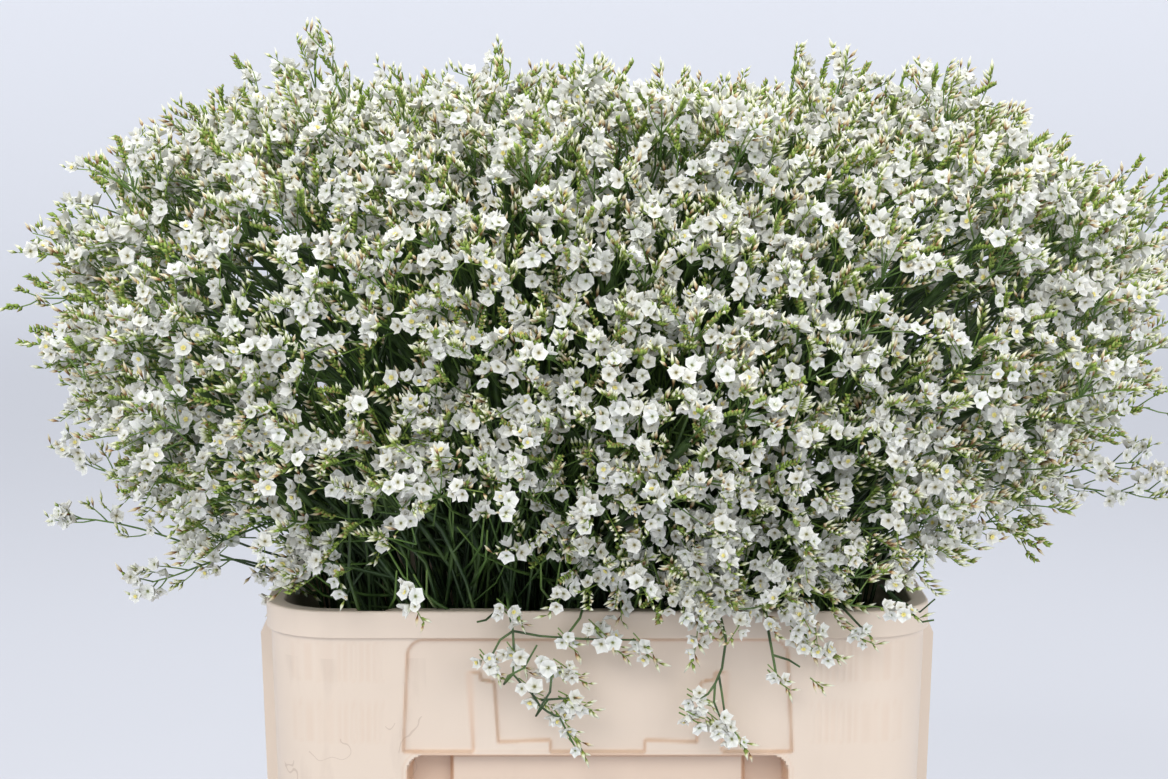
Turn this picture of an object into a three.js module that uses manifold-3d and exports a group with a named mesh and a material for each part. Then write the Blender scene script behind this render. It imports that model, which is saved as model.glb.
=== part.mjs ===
import * as THREE from 'three';
import { mergeVertices } from 'three/addons/utils/BufferGeometryUtils.js';
import Module from 'manifold-3d';

// White statice standing in a rectangular flower container.
// Millimetres, +Z up, +X to the right of the front, which faces -Y.
// The origin is the centre of the container's base.

// Container
const RIM_LENGTH = 385;
const RIM_DEPTH = 285;
const CONTAINER_HEIGHT = 290;
const RIM_BAND = 16;
const BAND_STEP = 2.5;
const LIP_WIDTH = 11;
const CORNER_RADIUS = 44;
const FLOOR_THICKNESS = 5;
const DRAFT = 0.032;
const END_GRIP = { halfWidth: 59, proud: 9, top: 5, foot: 214, slope: 24 };

// Relief of the front wall, from its centre line and down from the rim's top
const PANEL = { halfWidth: 108, top: 17, bottom: 82.5, depth: 1.6, radius: 8 };
const CARD_FRAME = { halfWidth: 70, pocket: 58, top: 36, sill: 75, bottom: 83, notch: 27 };
const CARD_POST = { crest: 3, step: 5, slant: 2 };
const ALCOVE = { halfWidth: 108, top: 85.5, bottom: 206, depth: 8, radius: 9 };
const ALCOVE_WELL = { inner: 84, depth: 15 };
const ALCOVE_WALL = 4;
const RIM_SLOT = { width: 16, depth: 2.2, places: [-129, -39, 39, 129] };

// Water and stems
const WATER_LEVEL = 52;
const CLEARANCE = 0.35;
const STEM_RADIUS = 2.3;
const STEM_TIP_RADIUS = 1.7;
const STEM_SIDES = 4;
const STEM_STEPS = 6;
const MOUTH_SPREAD = 0.86;
const MOUTH_DROP = 20;
const FOOT_SPREAD = 0.8;
const NECK_BEND = 0.62;
const STRAIGHT_ABOVE_WATER = 8;

// Dome of flowers, measured from a focus above the middle of the rim
const FOCUS_ABOVE_RIM = 20;
const DOME = { left: 330, right: 332, front: 256, back: 264, top: 281, power: 4 };
const UNDERCUT = { below: 20, side: 0.3, front: 0.18 };
const DOME_SPRAYS = 23;
const DOME_STRETCH = 1.15;
const SPIRAL_START = 0.6;
const SKIRT_ELEVATION = 1;
const FRONT_GAP = { azimuth: 240, lift: 14 };
const FRONT_OVERHANG = { azimuth: 302, lift: -4 };
const EVENING_ROUNDS = 12;
const WIDEST_SPREAD = 0.6;
const HEAD_DEPTH = 108;
const HEAD_UNEVEN = 16;

// Florets of a head, on a lattice of hexagonal cells
const LATTICE_RINGS = 2;
const BORDER_BAND = 0.8;
const CELL_EVENING = 0.88;
const HEAD_FILL = 0.93;
const FLORET_FILL = 0.96;
const THROAT_FILL = 0.26;
const THROAT_LIFT = 3;
const FLORET_LENGTH = 30;
const FLORET_CUP = 11;
const FLORET_UNEVEN = 12;
const FLORET_POINTS = 5;
const CORE_UNEVEN = 4;
const HUB_RADIUS = 4;

// Green side shoots, each ending in a spike of buds between the heads
const SHOOTS = 3;
const SHOOT_SPACING = 0.16;
const SHOOT_RADIUS = 1.5;
const SHOOT_FILL = 0.976;
const SHOOT_TURN = 9;
const SPIKE_LENGTH = 34;
const SPIKE_RADIUS = 3.4;
const SPIKE_PROUD = 17;
const SPIKE_UNEVEN = 10;

// Sprays that hang over the front rim
const HANGING = [
  { across: -46, lean: -12, drop: 26, spread: 29 },
  { across: -20, lean: 10, drop: 46, spread: 31 },
  { across: 46, lean: 14, drop: 44, spread: 29 },
  { across: 98, lean: 18, drop: 20, spread: 27 },
];
const HANGING_CLEAR = 16;
const HANGING_DEPTH = 36;
const HANGING_STRAIGHT = 9;
const HANGING_REACH = 70;
const HANGING_FLORET = 14;
const HANGING_AXIS = { lean: 0.025, forward: 0.42, down: 0.9 };
const RIM_CROSSING = { inside: 23, below: 2, over: 5, above: 6.5, outside: 12, lower: 4 };

const COLOURS = { container: 0xe5d6c8, water: 0xb9c9c6, stem: 0x3d6432, floret: 0xf1f1ec };

const SEAM = CONTAINER_HEIGHT - RIM_BAND;
const BODY_LENGTH = RIM_LENGTH - 2 * BAND_STEP;
const BODY_DEPTH = RIM_DEPTH - 2 * BAND_STEP;
const MOUTH_LENGTH = RIM_LENGTH - 2 * LIP_WIDTH;
const MOUTH_DEPTH = RIM_DEPTH - 2 * LIP_WIDTH;
const FOCUS = new THREE.Vector3(0, 0, CONTAINER_HEIGHT + FOCUS_ABOVE_RIM);
const UP = new THREE.Vector3(0, 0, 1);
const GOLDEN_ANGLE = Math.PI * (3 - Math.sqrt(5));
const TURN = 2 * Math.PI;

const wasm = await Module();
wasm.setup();

// A fixed draw between 0 and 1 for each whole number
function draw(seed) {
  const wave = Math.sin(seed * 12.9898 + 4.1414) * 43758.5453;
  return wave - Math.floor(wave);
}

// A draw between minus one and one
function swing(seed) {
  return 2 * draw(seed) - 1;
}

function solidOf(geometry) {
  geometry.deleteAttribute('normal');
  geometry.deleteAttribute('uv');
  const merged = mergeVertices(geometry, 1e-4);
  return new wasm.Manifold(new wasm.Mesh({
    numProp: 3,
    vertProperties: new Float32Array(merged.attributes.position.array),
    triVerts: new Uint32Array(merged.index.array),
  }));
}

function meshGeometry(positions, triangles) {
  const geometry = new THREE.BufferGeometry();
  geometry.setAttribute('position', new THREE.BufferAttribute(new Float32Array(positions), 3));
  geometry.setIndex(new THREE.BufferAttribute(new Uint32Array(triangles), 1));
  geometry.computeVertexNormals();
  return geometry;
}

function geometryOf(solid) {
  const mesh = solid.getMesh();
  return meshGeometry(mesh.vertProperties, mesh.triVerts);
}

// Outline of a rectangle with round corners, centred on a point
function roundedRectangle(length, depth, radius, middle = 0) {
  const x = length / 2 - radius;
  const y = depth / 2 - radius;
  const shape = new THREE.Shape();
  shape.absarc(x, middle - y, radius, -Math.PI / 2, 0);
  shape.absarc(x, middle + y, radius, 0, Math.PI / 2);
  shape.absarc(-x, middle + y, radius, Math.PI / 2, Math.PI);
  shape.absarc(-x, middle - y, radius, Math.PI, 1.5 * Math.PI);
  return shape;
}

// A block of the shape's outline that stands between two heights
function upright(shape, low, high, curveSegments = 6) {
  const depth = high - low;
  const geometry = new THREE.ExtrudeGeometry(shape, { depth, bevelEnabled: false, curveSegments });
  geometry.translate(0, 0, low);
  return solidOf(geometry);
}

// A block whose outline is drawn on the front wall, between two depths behind its face
function onFront(shape, outer, inner, curveSegments = 3) {
  const depth = inner - outer;
  const geometry = new THREE.ExtrudeGeometry(shape, { depth, bevelEnabled: false, curveSegments });
  geometry.rotateX(Math.PI / 2);
  geometry.translate(0, inner - BODY_DEPTH / 2, 0);
  return solidOf(geometry);
}

// A rectangle on the front wall, from one drop below the rim's top to another
function frontRectangle(halfWidth, top, bottom, radius) {
  const middle = CONTAINER_HEIGHT - (top + bottom) / 2;
  return roundedRectangle(2 * halfWidth, bottom - top, radius, middle);
}

// The frame that holds a card: two posts and a sill with a notch in its middle
function cardFrameShape() {
  const { halfWidth, pocket, top, sill, bottom, notch } = CARD_FRAME;
  const { crest, step, slant } = CARD_POST;
  const level = (drop) => CONTAINER_HEIGHT - drop;
  const rightHalf = [
    [notch, level(bottom)], [halfWidth, level(bottom)], [halfWidth, level(top)],
    [halfWidth - crest, level(top)], [halfWidth - crest, level(top + step)],
    [pocket + slant, level(top + step)], [pocket, level(top + 2 * step)],
    [pocket - slant, level(sill)], [notch + crest, level(sill + slant)], [notch, level(sill + step)],
  ];
  return [1, -1].map((side) => {
    const points = rightHalf.map(([x, z]) => new THREE.Vector2(side * x, z));
    return new THREE.Shape(side > 0 ? points : points.reverse());
  });
}

// A grip that stands out of one end wall and slopes back to it at the top
function endGrip(side) {
  const { halfWidth, proud, top, foot, slope } = END_GRIP;
  const root = BODY_LENGTH / 2 - 1;
  const tip = RIM_LENGTH / 2 + proud;
  const crest = CONTAINER_HEIGHT - top;
  const profile = new THREE.Shape([
    new THREE.Vector2(root, crest), new THREE.Vector2(root, crest - foot),
    new THREE.Vector2(RIM_LENGTH / 2, crest - foot), new THREE.Vector2(tip, crest - foot + slope),
    new THREE.Vector2(tip, crest - slope), new THREE.Vector2(RIM_LENGTH / 2 + 1, crest),
  ]);
  const geometry = new THREE.ExtrudeGeometry(profile, { depth: 2 * halfWidth, bevelEnabled: false });
  geometry.rotateX(Math.PI / 2);
  geometry.translate(0, halfWidth, 0);
  if (side < 0) geometry.rotateZ(Math.PI);
  return solidOf(geometry);
}

// The walls lean in towards the base, and the rim's band stays upright
function taper(solid) {
  return solid.warp((point) => {
    const drop = Math.max(0, SEAM - point[2]);
    point[0] *= 1 - (DRAFT * drop) / (BODY_LENGTH / 2);
    point[1] *= 1 - (DRAFT * drop) / (BODY_DEPTH / 2);
  });
}

function containerSolid() {
  const inner = CORNER_RADIUS - LIP_WIDTH;
  const body = upright(roundedRectangle(BODY_LENGTH, BODY_DEPTH, CORNER_RADIUS - BAND_STEP), 0, SEAM);
  const rim = roundedRectangle(RIM_LENGTH, RIM_DEPTH, CORNER_RADIUS);
  const band = upright(rim, SEAM - 1, CONTAINER_HEIGHT);
  const mouth = roundedRectangle(MOUTH_LENGTH, MOUTH_DEPTH, inner);
  const { halfWidth, top, bottom, radius } = ALCOVE;
  const backing = frontRectangle(halfWidth + ALCOVE_WALL, top - ALCOVE_WALL, bottom + ALCOVE_WALL, 2);
  const boss = onFront(backing, 0, ALCOVE_WELL.depth + ALCOVE_WALL, 1);
  const cavity = upright(mouth, FLOOR_THICKNESS, CONTAINER_HEIGHT + 5).subtract(boss);
  const panelFace = frontRectangle(PANEL.halfWidth, PANEL.top, PANEL.bottom, PANEL.radius);
  const panel = onFront(panelFace, -9, PANEL.depth);
  const alcove = onFront(frontRectangle(halfWidth, top, bottom, radius), -9, ALCOVE.depth);
  const wellHalf = (halfWidth - ALCOVE_WELL.inner) / 2;
  const wells = [-1, 1].map((side) => {
    const well = onFront(frontRectangle(wellHalf, top, bottom, radius), -9, ALCOVE_WELL.depth);
    return well.translate([side * (halfWidth - wellHalf), 0, 0]);
  });
  const frames = cardFrameShape().map((shape) => onFront(shape, 0, PANEL.depth + 1));
  const slots = RIM_SLOT.places.map((x) => {
    const block = new THREE.BoxGeometry(RIM_SLOT.width, 2 * RIM_SLOT.depth, 2 * RIM_SLOT.depth);
    block.translate(x, -MOUTH_DEPTH / 2, CONTAINER_HEIGHT);
    return solidOf(block);
  });
  let shell = body.add(endGrip(1)).add(endGrip(-1)).add(band).subtract(cavity);
  for (const cut of [panel, alcove, ...wells, ...slots]) shell = shell.subtract(cut);
  for (const frame of frames) shell = shell.add(frame);
  return taper(shell);
}

// Frames that turn as little as they can along a line of points
function turningFrames(points) {
  const frames = [];
  let side = new THREE.Vector3(1, 0, 0);
  points.forEach((point, index) => {
    const before = points[Math.max(0, index - 1)];
    const after = points[Math.min(points.length - 1, index + 1)];
    const ahead = after.clone().sub(before).normalize();
    side = side.clone().addScaledVector(ahead, -side.dot(ahead)).normalize();
    frames.push({ point, side, other: ahead.clone().cross(side) });
  });
  return frames;
}

// A tapering rod of few sides through a line of points
function rod(points, radii, sides) {
  const steps = points.length - 1;
  const frames = turningFrames(points);
  const geometry = new THREE.CylinderGeometry(1, 1, steps, sides, steps);
  const place = geometry.attributes.position;
  for (let index = 0; index < place.count; index += 1) {
    const step = Math.round(place.getY(index) + steps / 2);
    const { point, side, other } = frames[step];
    const spot = point.clone()
      .addScaledVector(side, radii[step] * place.getZ(index))
      .addScaledVector(other, radii[step] * place.getX(index));
    place.setXYZ(index, spot.x, spot.y, spot.z);
  }
  return solidOf(geometry);
}

// How far the dome reaches from its focus in a direction; it draws in below its widest level
function domeReach(direction) {
  const { left, right, front, back, top, power } = DOME;
  const x = Math.abs(direction.x) / (direction.x < 0 ? left : right);
  const y = Math.abs(direction.y) / (direction.y < 0 ? front : back);
  const z = Math.abs(direction.z) / top;
  const sideways = direction.x ** 2 / (direction.x ** 2 + direction.y ** 2);
  const depth = THREE.MathUtils.lerp(UNDERCUT.front, UNDERCUT.side, sideways);
  const under = Math.max(0, 1 - THREE.MathUtils.radToDeg(Math.asin(direction.z)) / UNDERCUT.below);
  return (1 - depth * under) * (x ** power + y ** power + z ** power) ** (-1 / power);
}

// Lowest elevation of the flowers: they lift over the stems at one place and hang lower beside it
function skirtElevation(azimuth) {
  let degrees = SKIRT_ELEVATION;
  for (const place of [FRONT_GAP, FRONT_OVERHANG]) {
    const towards = Math.max(0, Math.cos(azimuth - THREE.MathUtils.degToRad(place.azimuth)));
    degrees += place.lift * towards ** 6;
  }
  return THREE.MathUtils.degToRad(degrees);
}

// Two directions square to an axis
function squareTo(axis) {
  const helper = Math.abs(axis.z) > 0.9 ? new THREE.Vector3(1, 0, 0) : UP;
  const across = helper.clone().cross(axis).normalize();
  return [across, axis.clone().cross(across)];
}

// The walls between a spray and its neighbours, and the skirt plane under it, as normals
function wallsAround(spray, plan) {
  const skirt = skirtElevation(Math.atan2(spray.axis.y, spray.axis.x));
  const flat = new THREE.Vector3(spray.axis.x, spray.axis.y, 0).normalize();
  const floor = flat.multiplyScalar(-Math.sin(skirt)).addScaledVector(UP, Math.cos(skirt));
  const others = plan.filter((other) => other !== spray);
  return [...others.map((other) => spray.axis.clone().sub(other.axis)), floor];
}

// The way from a spray's axis to the middle of its share of the dome
function driftToMiddle(spray) {
  const [across, along] = squareTo(spray.axis);
  const drift = new THREE.Vector3();
  let weight = 0;
  for (let step = 0; step < 24; step += 1) {
    const turn = (step * TURN) / 24;
    const spread = Math.min(spreadTowards(spray, turn), WIDEST_SPREAD);
    drift.addScaledVector(across, Math.cos(turn) * spread ** 3);
    drift.addScaledVector(along, Math.sin(turn) * spread ** 3);
    weight += 1.5 * spread ** 2;
  }
  return drift.divideScalar(weight);
}

// The sprays of the dome start on a sunflower spiral and then even out their shares
function domePlan() {
  const plan = Array.from({ length: DOME_SPRAYS }, (_, index) => {
    const azimuth = index * GOLDEN_ANGLE + SPIRAL_START;
    const rise = 1 - (index + 0.5) / DOME_SPRAYS;
    const level = Math.sqrt(1 - rise * rise);
    const sideways = DOME_STRETCH * level * Math.cos(azimuth);
    const axis = new THREE.Vector3(sideways, level * Math.sin(azimuth), rise);
    return { axis: axis.normalize(), seed: 100 * (index + 1) };
  });
  for (let round = 0; round < EVENING_ROUNDS; round += 1) {
    for (const spray of plan) spray.walls = wallsAround(spray, plan);
    const drifts = plan.map(driftToMiddle);
    plan.forEach((spray, index) => spray.axis.add(drifts[index]).normalize());
  }
  for (const spray of plan) {
    spray.walls = wallsAround(spray, plan);
    spray.focus = FOCUS;
    spray.azimuth = Math.atan2(spray.axis.y, spray.axis.x / DOME_STRETCH);
    spray.spread = Math.sqrt(1 - spray.axis.z);
    spray.uneven = HEAD_UNEVEN * swing(spray.seed);
    spray.outer = (direction) => domeReach(direction) + spray.uneven;
    spray.hub = domeReach(spray.axis) + spray.uneven - HEAD_DEPTH;
    spray.rings = LATTICE_RINGS;
    spray.floretLength = FLORET_LENGTH;
  }
  return plan;
}

// How far a spray may spread around its axis before it meets a wall between sprays
function spreadTowards(spray, turn) {
  const [across, along] = squareTo(spray.axis);
  const sideways = across.multiplyScalar(Math.cos(turn)).addScaledVector(along, Math.sin(turn));
  let spread = spray.widest ?? Infinity;
  for (const wall of spray.walls) {
    const closing = -sideways.dot(wall);
    if (closing > 1e-9) spread = Math.min(spread, spray.axis.dot(wall) / closing);
  }
  return spread;
}

// A point of a spray: flat is its place around the axis, and depth is measured in from the dome
function sprayPoint(spray, flat, depth) {
  const [across, along] = squareTo(spray.axis);
  const direction = spray.axis.clone().addScaledVector(across, flat.x).addScaledVector(along, flat.y);
  direction.normalize();
  return spray.focus.clone().addScaledVector(direction, spray.outer(direction) - depth);
}

// Hexagonal cells in rings around one another, with the corners that neighbours share
function hexagonCells(rings) {
  const corners = new Map();
  const cells = [];
  for (let q = -rings; q <= rings; q += 1) {
    for (let r = Math.max(-rings, -q - rings); r <= Math.min(rings, -q + rings); r += 1) {
      const x = Math.sqrt(3) * (q + r / 2);
      const y = 1.5 * r;
      const cell = [];
      for (let k = 0; k < 6; k += 1) {
        const turn = (k * TURN) / 6 + TURN / 12;
        const corner = new THREE.Vector2(x + Math.cos(turn), y + Math.sin(turn));
        const key = `${Math.round(corner.x * 100)},${Math.round(corner.y * 100)}`;
        if (!corners.has(key)) corners.set(key, { index: corners.size, corner });
        cell.push(corners.get(key).index);
      }
      cells.push(cell);
    }
  }
  return { cells, corners: [...corners.values()].map((entry) => entry.corner) };
}

// Angle of a flat point about another, from 0 to a full turn
function angleAbout(point, middle) {
  return (Math.atan2(point.y - middle.y, point.x - middle.x) + TURN) % TURN;
}

// Distance from a point inside a polygon to its edge in the direction of an angle
function edgeDistance(polygon, middle, turn) {
  const ahead = new THREE.Vector2(Math.cos(turn), Math.sin(turn));
  let nearest = Infinity;
  polygon.forEach((from, index) => {
    const side = polygon[(index + 1) % polygon.length].clone().sub(from);
    const offset = from.clone().sub(middle);
    const crossing = ahead.cross(side);
    const distance = offset.cross(side) / crossing;
    const along = offset.cross(ahead) / crossing;
    if (distance > 0 && along >= -1e-9 && along <= 1 + 1e-9) nearest = Math.min(nearest, distance);
  });
  return nearest;
}

// Triangles between two rings of vertices, each in order of its angle
function bridge(lower, upper, triangles) {
  const turnOf = (ring, step) => ring[step % ring.length].turn + TURN * Math.floor(step / ring.length);
  const indexOf = (ring, step) => ring[step % ring.length].index;
  let low = 0;
  let high = 0;
  while (low < lower.length || high < upper.length) {
    const lowTurn = low < lower.length ? turnOf(lower, low + 1) : Infinity;
    const highTurn = high < upper.length ? turnOf(upper, high + 1) : Infinity;
    if (lowTurn <= highTurn) {
      triangles.push(indexOf(lower, low), indexOf(lower, low + 1), indexOf(upper, high));
      low += 1;
    } else {
      triangles.push(indexOf(lower, low), indexOf(upper, high + 1), indexOf(upper, high));
      high += 1;
    }
  }
}

function byTurn(a, b) {
  return a.turn - b.turn;
}

// A ring of vertices inside a cell, at a share of the distance to the cell's edge
function ringInCell(cell, count, share, start) {
  const ring = Array.from({ length: count }, (_, k) => {
    const turn = (((k + start) * TURN) / count) % TURN;
    const reach = share * edgeDistance(cell.polygon, cell.middle, turn);
    const offset = new THREE.Vector2(Math.cos(turn), Math.sin(turn)).multiplyScalar(reach);
    return { turn, flat: offset.add(cell.middle) };
  });
  return ring.sort(byTurn);
}

// The white head of a spray: five-pointed funnels that stand out of a small core
function headGeometry(spray) {
  const lattice = hexagonCells(spray.rings);
  const latticeReach = Math.max(...lattice.corners.map((corner) => corner.length()));
  const positions = [];
  const triangles = [];
  const addVertex = (flat, depth) => positions.push(...sprayPoint(spray, flat, depth).toArray()) / 3 - 1;
  const flats = lattice.corners.map((corner) => {
    const turn = Math.atan2(corner.y, corner.x);
    const onBorder = corner.length() > latticeReach - BORDER_BAND;
    const share = HEAD_FILL * (onBorder ? 1 : (corner.length() / latticeReach) ** CELL_EVENING);
    const reach = share * spreadTowards(spray, turn);
    return new THREE.Vector2(Math.cos(turn), Math.sin(turn)).multiplyScalar(reach);
  });
  const coreDepth = spray.floretLength + FLORET_UNEVEN;
  flats.forEach((flat, index) => addVertex(flat, coreDepth + CORE_UNEVEN * draw(spray.seed + index)));
  lattice.cells.forEach((corners, index) => {
    const seed = spray.seed + 41 * index;
    const polygon = corners.map((corner) => flats[corner]);
    const middle = polygon.reduce((sum, flat) => sum.add(flat), new THREE.Vector2()).divideScalar(6);
    const cell = { polygon, middle };
    const lift = FLORET_UNEVEN * draw(seed + 1);
    const put = (ring, depth) => ring.map(({ turn, flat }) => ({ turn, index: addVertex(flat, depth) }));
    const outline = corners.map((index) => ({ index, turn: angleAbout(flats[index], middle) }));
    outline.sort(byTurn);
    const throat = put(ringInCell(cell, 3, THROAT_FILL, draw(seed + 2)), coreDepth - THROAT_LIFT);
    const rim = put(ringInCell(cell, FLORET_POINTS, FLORET_FILL, draw(seed + 3)), lift);
    const heart = [{ turn: 0, index: addVertex(middle, lift + FLORET_CUP) }];
    bridge(outline, throat, triangles);
    bridge(throat, rim, triangles);
    fan(rim, heart[0].index, triangles);
  });
  closeHead(spray, lattice, flats, positions, triangles);
  return meshGeometry(positions, triangles);
}

function fan(ring, heart, triangles) {
  ring.forEach(({ index }, step) => triangles.push(index, ring[(step + 1) % ring.length].index, heart));
}

// The underside of a head runs from the outer corners of its cells to a small flat hub
function closeHead(spray, lattice, flats, positions, triangles) {
  const edges = new Set();
  for (const cell of lattice.cells) {
    cell.forEach((corner, step) => edges.add(`${corner},${cell[(step + 1) % 6]}`));
  }
  const border = new Set();
  for (const edge of edges) {
    const [from, to] = edge.split(',');
    if (!edges.has(`${to},${from}`)) border.add(Number(from));
  }
  const middle = new THREE.Vector2();
  const outer = [...border].map((index) => ({ index, turn: angleAbout(flats[index], middle) }));
  outer.sort(byTurn);
  const [across, along] = squareTo(spray.axis);
  const hubPoint = spray.focus.clone().addScaledVector(spray.axis, spray.hub);
  const hub = Array.from({ length: 4 }, (_, k) => {
    const turn = (k * TURN) / 4;
    const corner = hubPoint.clone()
      .addScaledVector(across, HUB_RADIUS * Math.cos(turn))
      .addScaledVector(along, HUB_RADIUS * Math.sin(turn));
    return { turn, index: positions.push(...corner.toArray()) / 3 - 1 };
  });
  bridge(hub, outer, triangles);
  triangles.push(hub[0].index, hub[2].index, hub[1].index, hub[0].index, hub[3].index, hub[2].index);
}

// Centre line of a stem, from the container's floor through its mouth to the head
function stemLine(spray) {
  const mouth = new THREE.Vector2(Math.cos(spray.azimuth), Math.sin(spray.azimuth))
    .multiply(new THREE.Vector2(MOUTH_LENGTH / 2, MOUTH_DEPTH / 2))
    .multiplyScalar(MOUTH_SPREAD * spray.spread);
  const foot = new THREE.Vector3(FOOT_SPREAD * mouth.x, FOOT_SPREAD * mouth.y, FLOOR_THICKNESS + CLEARANCE);
  const waterline = foot.clone().setZ(WATER_LEVEL + STRAIGHT_ABOVE_WATER);
  const throat = new THREE.Vector3(mouth.x, mouth.y, CONTAINER_HEIGHT - MOUTH_DROP);
  const neck = spray.focus.clone().addScaledVector(spray.axis, NECK_BEND * spray.hub);
  const end = spray.focus.clone().addScaledVector(spray.axis, spray.hub - CLEARANCE);
  const curve = new THREE.CubicBezierCurve3(waterline, throat, neck, end);
  return [foot, ...curve.getPoints(STEM_STEPS)];
}

// Centre line of a hanging stem, which bends over the front rim
function hangingLine(spray) {
  const front = -RIM_DEPTH / 2;
  const x = spray.across;
  const { inside, below, over, above, outside, lower } = RIM_CROSSING;
  const foot = new THREE.Vector3(0.7 * x, 0.6 * front, FLOOR_THICKNESS + CLEARANCE);
  const bend = [
    new THREE.Vector3(0.95 * x, front + inside, CONTAINER_HEIGHT - below),
    new THREE.Vector3(x, front + over, CONTAINER_HEIGHT + above),
    new THREE.Vector3(x + 0.3 * spray.lean, front - outside, CONTAINER_HEIGHT - lower),
  ];
  const end = spray.focus.clone().addScaledVector(spray.axis, spray.hub - CLEARANCE);
  const beforeEnd = end.clone().addScaledVector(spray.axis, -HANGING_STRAIGHT);
  return [foot, foot.clone().setZ(WATER_LEVEL + STRAIGHT_ABOVE_WATER), ...bend, beforeEnd, end];
}

function stemRadii(count) {
  return Array.from({ length: count }, (_, step) => {
    return THREE.MathUtils.lerp(STEM_RADIUS, STEM_TIP_RADIUS, step / (count - 1));
  });
}

// A side shoot leaves the stem under the head, passes beside it and ends in a spike
function shootSolid(spray, number) {
  const turn = ((number + 0.5 * draw(spray.seed + 9 * number)) * TURN) / SHOOTS;
  const spread = spreadTowards(spray, turn);
  const at = (share, depth) => {
    const flat = new THREE.Vector2(Math.cos(turn), Math.sin(turn)).multiplyScalar(share * spread);
    return sprayPoint(spray, flat, depth);
  };
  const proud = SPIKE_PROUD + SPIKE_UNEVEN * swing(spray.seed + 3 * number);
  const [lowerJoint, upperJoint] = spray.line.slice(-2);
  const points = [
    lowerJoint.clone().lerp(upperJoint, SHOOT_SPACING * (number + 0.5)),
    at(SHOOT_FILL, FLORET_LENGTH + FLORET_UNEVEN + SHOOT_TURN),
    at(SHOOT_FILL, SPIKE_LENGTH - proud),
    at(SHOOT_FILL, 0.6 * SPIKE_LENGTH - proud),
    at(SHOOT_FILL, -proud),
  ];
  return rod(points, [0.8 * SHOOT_RADIUS, SHOOT_RADIUS, SHOOT_RADIUS, SPIKE_RADIUS, 0.7], 3);
}

function stemSolid(spray) {
  let solid = rod(spray.line, stemRadii(spray.line.length), STEM_SIDES);
  for (let number = 0; number < spray.shoots; number += 1) solid = solid.add(shootSolid(spray, number));
  return solid;
}

function hangingPlan() {
  return HANGING.map(({ across, lean, drop, spread }, index) => {
    const { forward, down } = HANGING_AXIS;
    const axis = new THREE.Vector3(lean * HANGING_AXIS.lean, -forward, -down).normalize();
    const end = new THREE.Vector3(across + lean, -RIM_DEPTH / 2 - HANGING_CLEAR, CONTAINER_HEIGHT - drop);
    const hub = HANGING_REACH - HANGING_DEPTH;
    const spray = {
      axis, across, lean, hub, walls: [], widest: spread / HANGING_REACH, rings: 1, shoots: 0,
      focus: end.clone().addScaledVector(axis, -hub), outer: () => HANGING_REACH,
      floretLength: HANGING_FLORET, seed: 5000 + 100 * index,
    };
    spray.line = hangingLine(spray);
    return spray;
  });
}

function sprayPlans() {
  const dome = domePlan();
  for (const spray of dome) {
    spray.line = stemLine(spray);
    spray.shoots = SHOOTS;
  }
  return [...dome, ...hangingPlan()];
}

// Water fills the container's foot, with a plain hole round each stem
function waterSolid(sprays) {
  const inner = CORNER_RADIUS - LIP_WIDTH;
  const mouth = roundedRectangle(MOUTH_LENGTH, MOUTH_DEPTH, inner);
  const top = upright(mouth, FLOOR_THICKNESS + CLEARANCE, WATER_LEVEL);
  const shrink = [1 - (2 * CLEARANCE) / BODY_LENGTH, 1 - (2 * CLEARANCE) / BODY_DEPTH, 1];
  const narrowed = taper(top).scale(shrink);
  const radius = STEM_RADIUS + 2 * CLEARANCE;
  const holes = sprays.map(({ line: [foot, next] }) => {
    return rod([foot.clone().setZ(0), next], [radius, radius], STEM_SIDES);
  });
  return holes.reduce((water, hole) => water.subtract(hole), narrowed);
}

function addPiece(group, name, geometry, color, roughness) {
  const material = new THREE.MeshStandardMaterial({ color, roughness, metalness: 0 });
  const mesh = new THREE.Mesh(geometry, material);
  mesh.name = name;
  group.add(mesh);
}

const group = new THREE.Group();
const sprays = sprayPlans();
addPiece(group, 'container', geometryOf(containerSolid()), COLOURS.container, 0.55);
addPiece(group, 'water', geometryOf(waterSolid(sprays)), COLOURS.water, 0.1);
sprays.forEach((spray, index) => {
  const number = String(index + 1).padStart(2, '0');
  addPiece(group, `stem_${number}`, geometryOf(stemSolid(spray)), COLOURS.stem, 0.7);
  addPiece(group, `florets_${number}`, headGeometry(spray), COLOURS.floret, 0.9);
});

export default group;
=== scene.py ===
import math
import bpy
import numpy as np
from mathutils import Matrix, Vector, noise


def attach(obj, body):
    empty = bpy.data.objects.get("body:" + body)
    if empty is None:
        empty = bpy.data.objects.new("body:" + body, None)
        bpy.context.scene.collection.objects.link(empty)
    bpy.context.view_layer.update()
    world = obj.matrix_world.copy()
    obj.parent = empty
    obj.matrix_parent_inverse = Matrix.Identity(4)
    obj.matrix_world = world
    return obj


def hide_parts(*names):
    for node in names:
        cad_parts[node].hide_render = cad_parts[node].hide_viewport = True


# White statice in a flower container: finer flowers, stems and container around the solids
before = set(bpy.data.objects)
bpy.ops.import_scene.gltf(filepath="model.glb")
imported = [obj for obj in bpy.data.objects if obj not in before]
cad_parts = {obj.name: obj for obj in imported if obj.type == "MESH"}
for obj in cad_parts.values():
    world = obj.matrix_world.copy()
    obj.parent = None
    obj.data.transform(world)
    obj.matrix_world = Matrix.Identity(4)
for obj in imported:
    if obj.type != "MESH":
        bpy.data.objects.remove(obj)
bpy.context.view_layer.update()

MM = 0.001
SEED = 7

# Camera of the photograph, worked out for its 1168 x 779 frame
PHOTO_WIDTH = 1168
PHOTO_HEIGHT = 779
SENSOR = 36.0
FOCAL_PIXELS = 2864
CAMERA = Vector((-7.8, -1742.5, 602)) * MM
CAMERA_PITCH = math.radians(6.6)

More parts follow.
